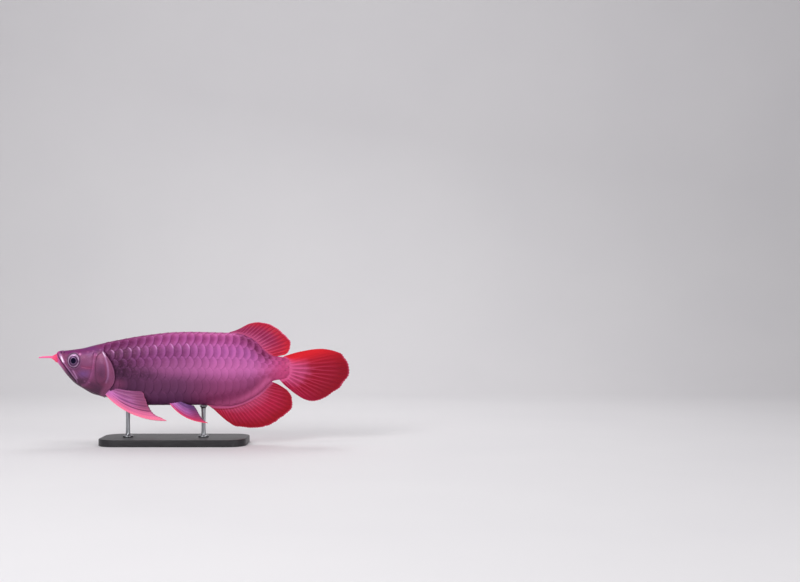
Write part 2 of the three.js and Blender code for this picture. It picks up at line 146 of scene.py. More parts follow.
@dataclass(frozen=True)
class Path:
    """A centripetal Catmull-Rom curve through knots, measured by its own length."""

    knots: Table
    steps: int = 40

    def trace(self) -> Array:
        """Points along the curve, closely spaced.

        Each span blends straight lines between its four nearest knots, whose times are the running sums of
        the square roots of the distances between them. The ends are carried on straight.

        Returns:
            An array of points, one a row.
        """
        p = np.array(self.knots, float)
        p = np.vstack([2 * p[0] - p[1], p, 2 * p[-1] - p[-2]])
        traced = []
        for a, b, c, d in zip(p[:-3], p[1:-2], p[2:-1], p[3:]):
            t1 = np.linalg.norm(b - a) ** 0.5
            t2 = t1 + np.linalg.norm(c - b) ** 0.5
            t3 = t2 + np.linalg.norm(d - c) ** 0.5
            t = np.linspace(t1, t2, self.steps, endpoint=False)[:, None]
            ab = a + (b - a) * t / t1
            bc = b + (c - b) * (t - t1) / (t2 - t1)
            cd = c + (d - c) * (t - t2) / (t3 - t2)
            abc, bcd = ab + (bc - ab) * t / t2, bc + (cd - bc) * (t - t1) / (t3 - t1)
            traced.append(abc + (bcd - abc) * (t - t1) / (t2 - t1))
        return np.vstack([*traced, p[-2:-1]])

    def __call__(self, share: Array) -> Array:
        """Points at shares of the curve's length, by straight steps between its traced points.

        Args:
            share: shares from 0 to 1.

        Returns:
            Points, the last axis holding the coordinates.
        """
        points = self.trace()
        length = np.r_[0, np.cumsum(np.linalg.norm(np.diff(points, axis=0), axis=1))]
        at = np.asarray(share, float) * length[-1]
        return np.stack([np.interp(at, length, axis) for axis in points.T], axis=-1)


@dataclass(frozen=True)
class Line:
    """A line drawn on the side of the fish, through [station, height] knots."""

    knots: Table

    def offset(self, s: Array, h: Array) -> Array:
        """Distance of each place from the line.

        The nearest of the line's short segments is found for each place, and the cross product gives the
        side: to the left of the line's direction, as the fish's left side shows it, the distance is
        positive.

        Args:
            s: stations.
            h: heights, of the same shape.

        Returns:
            Signed distances of that shape.
        """
        line = Path(self.knots, 8).trace()
        a, step = line[:-1], np.diff(line, axis=0)
        place = np.stack([np.ravel(s), np.ravel(h)], axis=-1)[:, None, :] - a[None]
        along = np.clip((place * step).sum(-1) / (step**2).sum(-1), 0, 1)
        apart = place - along[..., None] * step
        distance = np.sqrt((apart**2).sum(-1))
        nearest = distance.argmin(1)
        rows = np.arange(len(nearest))
        cross = step[nearest, 0] * place[rows, nearest, 1] - step[nearest, 1] * place[rows, nearest, 0]
        return (distance[rows, nearest] * np.where(cross >= 0, 1, -1)).reshape(np.shape(s))


@dataclass(frozen=True)
class Stroke:
    """A soft stroke along a line: a bell with a share and a width, beside it or on it, limited to spans."""

    line: Line
    share: float
    width: float
    beside: float = 0.0
    stations: tuple[Span, ...] = ()
    heights: tuple[Span, ...] = ()


def strokes(s: Array, h: Array, rows: tuple[Stroke, ...]) -> Array:
    """The sum of strokes on the side of the fish.

    Args:
        s: stations.
        h: heights.
        rows: the strokes. Each fades in or out by a smooth step over each of its spans.

    Returns:
        Shares, of the shape of s.
    """
    offsets = {line: line.offset(s, h) for line in {row.line for row in rows}}
    total = np.zeros(np.shape(s))
    for row in rows:
        stroke = row.share * hump(offsets[row.line] - row.beside, row.width)
        for span in row.stations:
            stroke = stroke * ease(*span, s)
        for span in row.heights:
            stroke = stroke * ease(*span, h)
        total += stroke
    return total


# The fish's form


@dataclass(frozen=True)
class FishForm:
    """The outline of the fish and its cross sections."""

    snout_x: float = -202.0
    midline_z: float = 128.0
    tail_swing: float = 9.0
    swing_start: float = 258.0
    length: float = 500.0
    turn_stretch: float = 0.19
    back: Profile = Profile((
        (-1.6, 20.6), (0, 26.5), (2.5, 29.2), (8, 31), (20, 32.3), (33, 34), (46, 36), (60, 39.6), (74, 43.1),
        (108, 50), (135, 55), (165, 59.3), (200, 62.8), (231, 63.5), (270, 62.6), (300, 61.8), (316, 59.5),
        (331, 53.5), (343, 45), (353, 34), (362, 26), (372, 22), (384, 20.8), (396, 19), (402, 15)))
    keel: Profile = Profile((
        (-1.6, 19.8), (0, 13.5), (3.5, 8.5), (8, 2.9), (19.3, -11.8), (32.4, -25), (45.5, -33.2), (60, -41.2),
        (76.5, -46.2), (108, -53), (132, -58.5), (156, -61.6), (250, -61.4), (275, -63.4), (293, -63.8),
        (313, -60), (327, -54), (347, -42), (357, -33), (364, -25), (371, -20), (384, -18), (396, -16.5),
        (402, -13)))
    breadth: Profile = Profile((
        (-1.6, 0.5), (0, 5.5), (3, 9.5), (8, 12.5), (16, 15), (28, 17.2), (45, 19.8), (60, 21.6), (75, 23),
        (97, 24.4), (130, 26.2), (175, 27.2), (235, 26.6), (275, 24.3), (305, 21), (330, 17), (350, 13),
        (365, 10.4), (384, 7.8), (396, 5.4), (402, 3)))
    widest: Profile = Profile((
        (-1.6, 20.2), (8, 17), (20, 12), (45, 6), (75, 2), (160, 4), (310, 2), (402, 1)))
    crown: Profile = Profile(((0, 0.62), (30, 0.55), (75, 0.6), (120, 0.72), (300, 0.8), (402, 0.9)))
    belly: Profile = Profile(((0, 0.8), (45, 0.85), (90, 1), (150, 1.2), (280, 1.3), (340, 1.1), (402, 0.95)))

    def place(self, s: Array, y: Array, h: Array) -> Array:
        """Points in the model's frame, in millimetres.

        Behind the start of the swing the middle plane moves to the right by the square of the share passed.

        Args:
            s: stations.
            y: distances to the right of the middle plane.
            h: heights above the midline.

        Returns:
            Points, the last axis holding x, y and z.
        """
        s, y, h = np.broadcast_arrays(np.asarray(s, float), y, h)
        past = np.maximum(s - self.swing_start, 0) / (self.length - self.swing_start)
        return np.stack([self.snout_x + s, y + self.tail_swing * past**2, self.midline_z + h], axis=-1)

    def section(self, s: Array, turn: Array, rise: Array | float = 0) -> tuple[Array, Array]:
        """Distance to the right and height of the skin.

        The angle from the back down is pi times the way down plus a small double sine. The half width is
        the breadth times the angle's sine to the power of the section's roundness, and the height its
        cosine times the reach.

        Args:
            s: stations.
            turn: turns round the section.
            rise: how far the point is lifted off the skin.

        Returns:
            Distances to the right and heights.
        """
        down = 1 - np.abs(2 * np.mod(turn, 1) - 1)
        angle = math.pi * down + self.turn_stretch * np.sin(2 * math.pi * down)
        side = np.where(np.mod(turn, 1) < 0.5, -1, 1)
        upper = np.cos(angle) > 0
        middle = self.widest(s)
        reach = np.where(upper, self.back(s) - middle, middle - self.keel(s))
        roundness = np.where(upper, self.crown(s), self.belly(s))
        y = side * (self.breadth(s) + rise) * np.maximum(np.sin(angle), 0) ** roundness
        return y, middle + (reach + rise) * np.cos(angle)

    def skin(self, s: Array, turn: Array, rise: Array | float = 0) -> Array:
        """Points of the skin, lifted by rise, in the model's frame."""
        y, h = self.section(s, turn, rise)
        return self.place(s, y, h)

    def level(self, s: Array, h: Array) -> Array:
        """How far up the flank a height is, 0 on the keel and 1 on the back."""
        low, high = self.keel(s), self.back(s)
        return np.clip((h - low) / (high - low), 0, 1)

    def half_width(self, s: float, h: float) -> float:
        """Half the width of the body, by the same curve as its sections, without the small double sine.

        Args:
            s: a station.
            h: a height.

        Returns:
            Millimetres from the middle plane to the skin.
        """
        middle = float(self.widest(s))
        upper = h > middle
        reach = float(self.back(s)) - middle if upper else middle - float(self.keel(s))
        roundness = float(self.crown(s) if upper else self.belly(s))
        return float(self.breadth(s)) * math.sqrt(max(1 - ((h - middle) / reach) ** 2, 0)) ** roundness


FORM = FishForm()


# Meshes from arrays


def ring_faces(rings: int, count: int) -> tuple[Array, Array]:
    """Faces of a closed surface: quads between rings, and fans round two points that follow the rings' own.

    Args:
        rings: how many rings.
        count: points in each.

    Returns:
        Rows of four corners, and rows of three.
    """
    i, j = np.meshgrid(np.arange(rings - 1), np.arange(count), indexing="ij")
    a, b = (i * count + j).ravel(), (i * count + (j + 1) % count).ravel()
    quads = np.stack([a, b, b + count, a + count], axis=-1)
    j = np.arange(count)
    after, first, base = (j + 1) % count, rings * count, (rings - 1) * count
    front = np.stack([after, j, np.full(count, first)], axis=-1)
    rear = np.stack([base + j, base + after, np.full(count, first + 1)], axis=-1)
    return quads, np.vstack([front, rear])


def plate_quads(rows: int, columns: int) -> Array:
    """Corners of the quads of a thin plate: two grids, one after the other, joined round the rim.

    Args:
        rows: rows of points in each grid.
        columns: columns of points in each grid.

    Returns:
        Rows of four corners.
    """
    i, j = np.meshgrid(np.arange(rows - 1), np.arange(columns - 1), indexing="ij")
    a = (i * columns + j).ravel()
    face = np.stack([a, a + 1, a + columns + 1, a + columns], axis=-1)
    rim = np.concatenate([
        np.arange(columns), np.arange(1, rows) * columns + columns - 1,
        (rows - 1) * columns + np.arange(columns - 2, -1, -1), np.arange(rows - 2, 0, -1) * columns])
    after = np.roll(rim, -1)
    size = rows * columns
    wall = np.stack([rim, rim + size, after + size, after], axis=-1)
    return np.vstack([face, face[:, ::-1] + size, wall])


def volume(points: Array, quads: Array, triangles: Array) -> float:
    """Volume inside a closed mesh, a sum of tetrahedra from the origin, negative if faces point inwards.

    Args:
        points: its points.
        quads: rows of four corners.
        triangles: rows of three corners.

    Returns:
        Cubic millimetres.
    """
    corners = np.vstack([quads[:, [0, 1, 2]], quads[:, [0, 2, 3]], triangles])
    a, b, c = (points[corners[:, k]] for k in range(3))
    return float(np.einsum("ij,ij->i", a, np.cross(b, c)).sum() / 6)


NO_TRIANGLES = np.zeros((0, 3), int)


def make_piece(name: str, points: Array, quads: Array, triangles: Array = NO_TRIANGLES,
               marks: dict[str, Array] | None = None, bake: Array | None = None) -> bpy.types.Object:
    """A smooth closed mesh object from arrays, turned to face outwards.

    Args:
        name: the piece's name.
        points: its points, in millimetres.
        quads: rows of four corners.
        triangles: rows of three corners.
        marks: named numbers, or rows of three, for each point.
        bake: a flat map's place for each point, with turns that may wrap from 1 to 0.

    Returns:
        The new object, at the origin.
    """
    points = points.reshape(-1, 3)
    if volume(points, quads, triangles) < 0:
        quads, triangles = quads[:, ::-1], triangles[:, ::-1]
    mesh = bpy.data.meshes.new(name)
    mesh.vertices.add(len(points))
    mesh.vertices.foreach_set("co", (points * MM).astype(np.float32).ravel())
    corners = np.concatenate([quads.ravel(), triangles.ravel()]).astype(np.int32)
    mesh.loops.add(len(corners))
    mesh.loops.foreach_set("vertex_index", corners)
    starts = np.concatenate([np.arange(len(quads)) * 4, len(quads) * 4 + np.arange(len(triangles)) * 3])
    mesh.polygons.add(len(starts))
    mesh.polygons.foreach_set("loop_start", starts.astype(np.int32))
    mesh.update(calc_edges=True)
    mesh.polygons.foreach_set("use_smooth", np.ones(len(starts), bool))
    for mark, values in (marks or {}).items():
        wide = np.ndim(values) > 1 and values.shape[-1] == 3
        layer = mesh.attributes.new(mark, "FLOAT_VECTOR" if wide else "FLOAT", "POINT")
        layer.data.foreach_set("vector" if wide else "value", np.asarray(values, np.float32).ravel())
    if bake is not None:
        flat = bake[corners]
        for start, sides, count in ((0, 4, len(quads)), (len(quads) * 4, 3, len(triangles))):
            part = flat[start:start + sides * count].reshape(count, sides, 2)
            far = np.ptp(part[..., 1], axis=1) > 0.5 if count else np.zeros(0, bool)
            part[far, :, 1] += part[far, :, 1] < 0.5
        mesh.uv_layers.new(name="OFBake").data.foreach_set("uv", flat.astype(np.float32).ravel())
    mesh.update()
    piece = bpy.data.objects.new(name, mesh)
    bpy.context.scene.collection.objects.link(piece)
    return piece


def tube(centres: Array, radii: Array, sides: int) -> tuple[Array, Array, Array]:
    """A closed round tube: rings square to the path, closed by a point at each end.

    Args:
        centres: points of the path.
        radii: a radius for each.
        sides: points round a ring.

    Returns:
        Points, quads and triangles.
    """
    ahead = np.gradient(centres, axis=0)
    ahead /= np.linalg.norm(ahead, axis=1, keepdims=True)
    aside = np.cross(ahead, [0.0, 0.6, 0.8])
    aside /= np.linalg.norm(aside, axis=1, keepdims=True)
    above = np.cross(ahead, aside)
    angle = np.linspace(0, 2 * math.pi, sides, endpoint=False)[None, :, None]
    spokes = np.cos(angle) * aside[:, None] + np.sin(angle) * above[:, None]
    rings = centres[:, None] + radii[:, None, None] * spokes
    points = np.vstack([rings.reshape(-1, 3), centres[:1], centres[-1:]])
    return points, *ring_faces(len(centres), sides)


# Shader maths


class Value:
    """A socket of a shader tree. Arithmetic on it adds Math nodes, and numbers and sockets mix freely."""

    def __init__(self, tree: "Finish", socket: bpy.types.NodeSocket) -> None:
        """Wraps a socket of a finish's tree."""
        self.tree, self.socket = tree, socket

    def maths(self, operation: str, first: "Value | float", second: "Value | float" = 0.0) -> "Value":
        """A Math node of two values."""
        return self.tree.node("ShaderNodeMath", {"operation": operation}, {0: first, 1: second})

    def __add__(self, other: "Value | float") -> "Value":
        """Sum."""
        return self.maths("ADD", self, other)

    def __sub__(self, other: "Value | float") -> "Value":
        """Difference."""
        return self.maths("SUBTRACT", self, other)

    def __rsub__(self, other: float) -> "Value":
        """Difference from a number."""
        return self.maths("SUBTRACT", other, self)

    def __mul__(self, other: "Value | float") -> "Value":
        """Product."""
        return self.maths("MULTIPLY", self, other)

    __radd__, __rmul__ = __add__, __mul__

    def wave(self) -> "Value":
        """Sine of the value, moved to run from 0 to 1."""
        return self.maths("SINE", self) * 0.5 + 0.5

    def either(self, other: "Value | float") -> "Value":
        """The larger of two values."""
        return self.maths("MAXIMUM", self, other)

    def step(self, low: float, high: float) -> "Value":
        """A smooth step from 0 at low to 1 at high, which may lie the other way round."""
        start, end, first, last = (low, high, 0.0, 1.0) if low < high else (high, low, 1.0, 0.0)
        return self.tree.node("ShaderNodeMapRange", {"interpolation_type": "SMOOTHSTEP"},
                              {0: self, 1: start, 2: end, 3: first, 4: last})


class Finish:
    """A material under construction: one Principled shader, and the nodes that feed it."""

    def __init__(self, name: str, **constants: float | Colour) -> None:
        """Starts a material.

        Args:
            name: the material's name.
            constants: numbers that are the same all over, by socket, with underscores for spaces.
        """
        self.material = bpy.data.materials.new(name)
        self.material.use_nodes = True
        self.nodes, self.links = self.material.node_tree.nodes, self.material.node_tree.links
        self.shader = self.nodes["Principled BSDF"]
        self.set(self.shader, {key.replace("_", " "): value for key, value in constants.items()})

    def set(self, node: bpy.types.Node, inputs: dict) -> None:
        """Gives a node's sockets their values or links.

        Args:
            node: the node.
            inputs: a number, colour, vector or link for each socket, by its name or number.
        """
        for key, value in inputs.items():
            socket = node.inputs[key]
            if isinstance(value, Value):
                self.links.new(value.socket, socket)
            else:
                socket.default_value = (*linear(value), 1.0) if socket.type == "RGBA" else value

    def node(self, kind: str, settings: dict, inputs: dict, output: int | str = 0) -> Value:
        """Adds a node.

        Args:
            kind: the node's type.
            settings: its properties, set before its sockets; "stops" gives a ramp its places and colours.
            inputs: values or links by socket.
            output: which output to return.

        Returns:
            That output.
        """
        node = self.nodes.new(kind)
        stops = settings.pop("stops", None)
        for key, value in settings.items():
            setattr(node, key, value)
        if stops:
            ramp = node.color_ramp
            ramp.interpolation = "EASE"
            while len(ramp.elements) < len(stops):
                ramp.elements.new(0.5)
            for element, (place, _) in zip(ramp.elements, stops):
                element.position = place
            for element, (_, colour) in zip(ramp.elements, stops):
                element.color = (*linear(colour), 1.0)
        self.set(node, inputs)
        return Value(self, node.outputs[output])

    def mark(self, name: str) -> Value:
        """A number that the mesh carries at its points."""
        return self.node("ShaderNodeAttribute", {"attribute_name": name}, {}, "Fac")

    def mark_vector(self, name: str) -> Value:
        """Three numbers that the mesh carries at its points."""
        return self.node("ShaderNodeAttribute", {"attribute_name": name}, {}, "Vector")

    def coordinates(self) -> Value:
        """Object coordinates, which are the model's own."""
        return self.node("ShaderNodeTexCoord", {}, {}, "Object")

    def ramp(self, factor: Value, *stops: tuple[float, Colour]) -> Value:
        """A colour that runs through stops of place and colour."""
        return self.node("ShaderNodeValToRGB", {"stops": stops}, {0: factor})

    def mix(self, first: Value | Colour, second: Value | Colour, factor: Value | float) -> Value:
        """A colour between two, by factor."""
        return self.node("ShaderNodeMix", {"data_type": "RGBA"}, {0: factor, 6: first, 7: second}, 2)

    def noise(self, place: Value, scale: float, detail: float = 3.0) -> Value:
        """Cloudy noise from 0 to 1."""
        return self.node("ShaderNodeTexNoise", {}, {"Vector": place, "Scale": scale, "Detail": detail}, "Fac")

    def stretch(self, place: Value, scale: Place) -> Value:
        """Coordinates multiplied axis by axis."""
        return self.node("ShaderNodeMapping", {}, {"Vector": place, "Scale": scale})

    def layers(self, colour: Value | Colour, *layers: tuple[Value | Colour, Value | float]) -> Value:
        """A colour with others laid over it, one after another.

        Args:
            colour: the ground.
            layers: each colour and the share by which it covers what lies below.

        Returns:
            The colour on top.
        """
        for paint, share in layers:
            colour = self.mix(colour, paint, share)
        return colour

    def dim(self, colour: Value, share: float) -> Value:
        """A colour multiplied by a share."""
        return self.node("ShaderNodeVectorMath", {"operation": "SCALE"}, {0: colour, "Scale": share})

    def bump(self, height: Value, depth: float) -> Value:
        """A normal bent by a height from 0 to 1, which stands for depth in millimetres."""
        return self.node("ShaderNodeBump", {}, {"Height": height, "Distance": depth * MM}, "Normal")

    def finish(self, **inputs: Value | float | Colour) -> bpy.types.Material:
        """Feeds the shader and hands over the material."""
        self.set(self.shader, {key.replace("_", " "): value for key, value in inputs.items()})
        return self.material


def dress(piece: bpy.types.Object, material: bpy.types.Material) -> None:
    """Gives a piece one material."""
    piece.data.materials.clear()
    piece.data.materials.append(material)


def settle(piece: bpy.types.Object, material: bpy.types.Material, slot: str,
           *replaced: str) -> bpy.types.Object:
    """Dresses a piece, rides it on the model and hides the nodes that it stands for.

    Args:
        piece: the finished piece.
        material: its material.
        slot: its material slot; not used.
        replaced: the nodes that it stands for.

    Returns:
        The same piece.
    """
    dress(piece, material)
    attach(piece, "root")
    if replaced:
        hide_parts(*replaced)
    LOG.info("%s: %d points, %d faces", piece.name, len(piece.data.vertices), len(piece.data.polygons))
    return piece


# Finishes of the fish


@dataclass(frozen=True)
class BodyColours:
    """The colours of the body, which skin and scales share. Each list runs from keel to back and holds the
    fish's own tones with painted light and shade in them.
    """

    levels: tuple[float, ...] = (0.06, 0.28, 0.52, 0.76, 0.92, 1.0)
    # The last stop of each list is painted light from above. The front's first stop is raised by painted
    # light against the shade under the belly, and the front's darker middle stops are partly painted shade.
    front: tuple[Colour, ...] = (
        (98, 52, 88), (76, 42, 72), (62, 30, 54), (74, 28, 62), (102, 38, 82), (142, 56, 112))
    middle: tuple[Colour, ...] = (
        (102, 56, 94), (107, 57, 94), (161, 87, 140), (118, 48, 104), (154, 64, 126), (184, 82, 144))
    rear: tuple[Colour, ...] = (
        (146, 58, 102), (151, 70, 118), (203, 109, 174), (183, 94, 167), (160, 66, 130), (184, 82, 144))
    root: Colour = (200, 73, 127)
    dusk: Colour = (116, 38, 78)
    gloom: Colour = (60, 33, 56)
    # Painted light, laid on shaded places of the lower flank.
    painted_glow: Colour = (212, 102, 156)
    to_middle: Span = (110.0, 200.0)
    to_rear: Span = (200.0, 300.0)
    to_root: Span = (330.0, 392.0)
    cloud_scale: float = 14.0
    level_drift: float = 0.12
    station_drift: float = 30.0

    def paint(self, finish: Finish) -> Value:
        """The body's colour at each point.

        Ramps up the flank for the front, the middle and the rear, and one colour for the tail's root, follow
        each other by the station. Clouds shift both, and the marked patches lie on top, the last of them
        painted light on shaded places of the lower flank.

        Args:
            finish: the material under construction.

        Returns:
            The colour.
        """
        station, level = finish.mark("station"), finish.mark("level")
        cloud = finish.noise(finish.coordinates(), self.cloud_scale) - 0.5
        height = level + cloud * self.level_drift
        along = station + cloud * self.station_drift
        front, middle, rear = (finish.ramp(height, *zip(self.levels, colours))
                               for colours in (self.front, self.middle, self.rear))
        # The last layer is painted light on shaded places of the lower flank.
        return finish.layers(
            front, (middle, along.step(*self.to_middle)), (rear, along.step(*self.to_rear)),
            (self.root, station.step(*self.to_root)), (self.dusk, finish.mark("dusk")),
            (self.gloom, finish.mark("gloom")), (self.painted_glow, finish.mark("painted_glow")))


@dataclass(frozen=True)
class BodyPatches:
    """Patches of the body: dusky ones along the fins' roots, painted light on the shaded underside along the
    anal fin's root and on a spot behind the gill cover, and a gloomy one behind the head.
    """

    dorsal_root: Line = Line(((318, 54.5), (325, 51), (333, 45.5), (341, 35), (351, 26), (361, 19.8)))
    low_rear: Line = Line((
        (262, -51), (276, -47.5), (290, -44), (306, -41.5), (322, -38), (336, -31), (346, -23)))
    anal_root: Line = Line((
        (256, -59), (275, -60.5), (300, -58), (315, -53.5), (330, -46), (346, -35), (354, -26.5),
        (362, -19.5)))
    dusk_strokes: tuple[Stroke, ...] = (
        Stroke(dorsal_root, 0.6, 4.8), Stroke(dorsal_root, 0.24, 12.0), Stroke(low_rear, 0.42, 6.5))
    # Painted light along the anal fin's root, where the body turns under into shade.
    painted_glow_strokes: tuple[Stroke, ...] = (Stroke(anal_root, 0.75, 6.0, stations=((252, 276),)),)
    dusk_spots: Table = ((356, -12, 11, 6, 0.32),)
    # Painted light on a spot behind the gill cover, above the pectoral fin's root.
    painted_glow_spots: Table = ((110, -24, 13, 8, 0.2),)
    gloom_spots: Table = ((156, -9, 26, 12, 0.66),)

    def marks(self, s: Array, h: Array) -> dict[str, Array]:
        """How dusky, how lightened by painted light and how gloomy each place is, 0 to 1, as sums of strokes
        and spots.

        Args:
            s: stations.
            h: heights.

        Returns:
            The marks by name.
        """
        dusk = strokes(s, h, self.dusk_strokes) + spots(s, h, self.dusk_spots)
        painted_glow = strokes(s, h, self.painted_glow_strokes) + spots(s, h, self.painted_glow_spots)
        marks = {"dusk": dusk, "painted_glow": painted_glow, "gloom": spots(s, h, self.gloom_spots)}
        return {name: np.clip(values, 0, 1) for name, values in marks.items()}


@dataclass(frozen=True)
class SkinFinish:
    """Skin of the head and below the scales: bony plates with a pearly sheen, soft rims and dark seams, with
    painted highlights on the lips, the jaw, the cheek and the gill cover's rim, and painted shade in the
    mouth's gape, under the gill cover's rim, round the eye, in the nostrils, at the mouth's corner and on the
    throat.
    """

    forehead: Colour = (122, 41, 108)
    cheek: Colour = (126, 64, 104)
    throat: Colour = (84, 43, 71)
    chin: Colour = (74, 38, 64)
    # The next two colours paint highlights on the lips, the jaw, the cheek and the gill cover's rim, and the
    # pores' bright cores.
    light: Colour = (206, 146, 200)
    white_and_highlight: Colour = (250, 226, 250)
    rose: Colour = (222, 90, 166)
    warm: Colour = (138, 54, 92)
    cool: Colour = (114, 74, 138)
    # Painted shade under and behind the eye, at the mouth's corner, on the jaw, the throat, the nape and the
    # gill cover.
    shade: Colour = (66, 37, 70)
    pale: Colour = (170, 108, 150)
    # Dark seams at the bones' joints, and painted shade in the mouth's gape, under the gill cover's rim,
    # round the eye and in the nostrils.
    seam_and_shade: Colour = (52, 24, 50)
    membrane: Colour = (135, 68, 106)
    levels: tuple[float, ...] = (0.0, 0.17, 0.42, 0.78, 0.97)
    to_head: Span = (110.0, 96.0)
    pore_depth: float = 0.18

    def make(self) -> bpy.types.Material:
        """Builds the material.

        Returns:
            The material.
        """
        skin = Finish("head_and_body_skin", Metallic=0.2, Coat_Weight=0.08, Coat_Roughness=0.2,
                      Specular_IOR_Level=0.2)
        place = skin.coordinates()
        station, level = skin.mark("station"), skin.mark("level")
        body = BodyColours().paint(skin)
        cloud, fine = skin.noise(place, 60.0, 5.0), skin.noise(place, 420.0, 3.0)
        patches = skin.noise(place, 34.0, 4.0)
        rising = (self.chin, self.throat, self.cheek, self.cheek, self.forehead)
        side = level.step(0.1, 0.4)
        cloudy = 0.6 + cloud * 0.8
        head = skin.layers(
            skin.ramp(level + (cloud - 0.5) * 0.16, *zip(self.levels, rising)),
            (self.warm, patches.step(0.5, 0.7) * side * 0.5),
            (self.cool, patches.step(0.5, 0.32) * side * 0.25),
            (self.warm, skin.mark("warm")), (self.cool, skin.mark("cool") * (0.6 + cloud * 0.6)),
            (self.shade, skin.mark("shade") * cloudy), (self.pale, skin.mark("pale") * cloudy))
        # Painted highlights and painted shade lie over the head's own colours.
        colour = skin.layers(
            body, (head, (station + (cloud - 0.5) * 8.0).step(*self.to_head)),
            (self.membrane, skin.mark("membrane") * 0.8), (self.rose, skin.mark("rose")),
            (self.light, skin.mark("light") * (0.55 + fine * 0.5)), (self.white_and_highlight, skin.mark("white_and_highlight")),
            (self.seam_and_shade, skin.mark("seam_and_shade")))
        colour = skin.mix(colour, skin.dim(colour, 0.72), (fine * cloud * 2.2).step(0.4, 0.9) * 0.6)
        return skin.finish(Base_Color=colour, Roughness=0.3 + cloud * 0.22,
                           Normal=skin.bump(fine * 0.5 + cloud * 0.5, self.pore_depth))


@dataclass(frozen=True)
class ScaleFinish:
    """Large scales with a dark centre, a bright lilac rim painted stronger on the upper flank as a highlight
    from above, painted glints, a painted shadow line at each free edge, and a pearly, wet sheen.
    """

    rim: Colour = (170, 92, 158)
    rose: Colour = (208, 108, 176)
    glint: Colour = (240, 176, 230)
    spot: Colour = (90, 22, 62)
    to_rose: Span = (190.0, 330.0)
    to_root: Span = (392.0, 360.0)
    rings: float = 120.0
    ring_depth: float = 0.12

    def make(self) -> bpy.types.Material:
        """Builds the material.

        Returns:
            The material.
        """
        scale = Finish("scales", Metallic=0.25, Coat_Weight=0.05, Coat_Roughness=0.22, Specular_IOR_Level=0.1)
        station, level, rim = scale.mark("station"), scale.mark("level"), scale.mark("rim")
        body = BodyColours().paint(scale)
        dark = scale.dim(body, 0.62)
        edge = scale.mix(self.rim, self.rose, station.step(*self.to_rose))
        streaks = scale.noise(scale.stretch(scale.mark_vector("local"), (3.0, 26.0, 1.0)), 1.0, 2.0)
        grain = scale.noise(scale.coordinates(), 900.0, 2.0)
        mottle = scale.noise(scale.coordinates(), 300.0, 3.0)
        # The upper flank, less so at the front: there the dark centres are stronger, the rims carry painted
        # highlight from above and the free edges a deeper painted shadow.
        upper = level.step(0.45, 0.72) * (station.step(95.0, 190.0) * 0.5 + 0.5)
        spot = rim.step(0.88, 0.5) * (0.05 + upper * 0.33)
        lit = rim.step(0.6, 0.95) * (0.05 + upper * 0.35).either((station * level).step(60.0, 150.0) * 0.28)
        # Over the body: dark centres, randomly darker scales, the rims' lilac with painted highlight, painted
        # glints, mottled rims, and a painted shadow line along each free edge.
        colour = scale.layers(
            body, (self.spot, spot * (0.5 + streaks)),
            (dark, scale.mark("own") * 0.16 + mottle.step(0.4, 0.7) * 0.1),
            (edge, lit * (0.5 + streaks * 0.7) * station.step(*self.to_root)),
            (self.glint, rim.step(0.85, 0.95) * scale.mark("glint") * 0.45),
            (edge, mottle.step(0.5, 0.35) * level.step(0.25, 0.5) * 0.12),
            (dark, rim.step(0.97, 1.0) * (0.06 + upper * 0.2)))
        rings = (rim * self.rings + streaks * 5.0).wave()
        relief = rings * 0.3 + streaks * 0.4 + grain * 0.3
        return scale.finish(Base_Color=colour, Roughness=0.34 + streaks * 0.2,
                            Normal=scale.bump(relief, self.ring_depth))


@dataclass(frozen=True)
class FinFinish:
    """A fin: membrane between jointed rays, with colours from its root to its edge and a thin rim."""

    name: str
    root: Colour
    middle: Colour
    edge: Colour
    rim: Colour
    first: Colour
    last: Colour
    lead: Colour
    web: Colour
    crest: Colour
    sheath: Colour = (190, 82, 130)
    first_reach: Span = (0.35, 0.0)
    first_share: float = 0.0
    last_reach: Span = (0.65, 1.0)
    last_share: float = 0.0
    web_share: float = 0.6
    crest_share: float = 0.35
    hem_share: float = 0.0
    rim_start: float = 0.955
    rim_blur: float = 0.03
    joints: float = 150.0
    joint_depth: float = 0.15

    def make(self) -> bpy.types.Material:
        """Builds the material.

        Returns:
            The material.
        """
        fin = Finish(self.name, Coat_Weight=0.05, Coat_Roughness=0.25, Specular_IOR_Level=0.15,
                     Subsurface_Weight=0.1, Subsurface_Radius=(1.0, 0.3, 0.3), Subsurface_Scale=0.002)
        ray, along, across = fin.mark("ray"), fin.mark("along"), fin.mark("across")
        place = fin.coordinates()
        cloud, fine = fin.noise(place, 70.0, 4.0), fin.noise(place, 500.0, 2.0)
        reach = along + (cloud - 0.5) * 0.22
        strength = 1.0 - fin.mark("smooth")
        between = ray.step(0.8, 0.15) * along.step(0.02, 0.2)
        crest = ray.step(0.55, 1.0) * along.step(1.0, 0.35)
        outer = (along + (cloud - 0.5) * 0.03).step(self.rim_start, self.rim_start + self.rim_blur)
        joint = (along * self.joints).wave().step(0.8, 1.0) * ray.step(0.3, 0.8) * along.step(0.18, 0.35)
        colour = fin.layers(
            fin.ramp(reach, (0.0, self.root), (0.16, self.root), (0.5, self.middle), (0.93, self.edge)),
            (self.first, across.step(*self.first_reach) * reach.step(0.0, 0.3) * self.first_share),
            (self.last, across.step(*self.last_reach) * self.last_share),
            (self.web, between * (0.6 + cloud * 0.8) * strength * self.web_share),
            (self.crest, crest * strength * self.crest_share), (self.web, fin.mark("bold") * 0.9),
            (self.sheath, fin.mark("sheath") * (0.55 + fine * 0.5)),
            (self.web, fin.mark("hem") * (0.5 + cloud) * across.step(0.75, 0.4) * self.hem_share),
            (self.rim, outer * 0.75), (self.lead, fin.mark("lead")), (self.web, joint * 0.15))
        relief = 0.5 - joint * 0.4 + (fine - 0.5) * 0.3 + (cloud - 0.5) * 0.3
        return fin.finish(Base_Color=colour, Roughness=0.36 + cloud * 0.2,
                          Normal=fin.bump(relief, self.joint_depth))


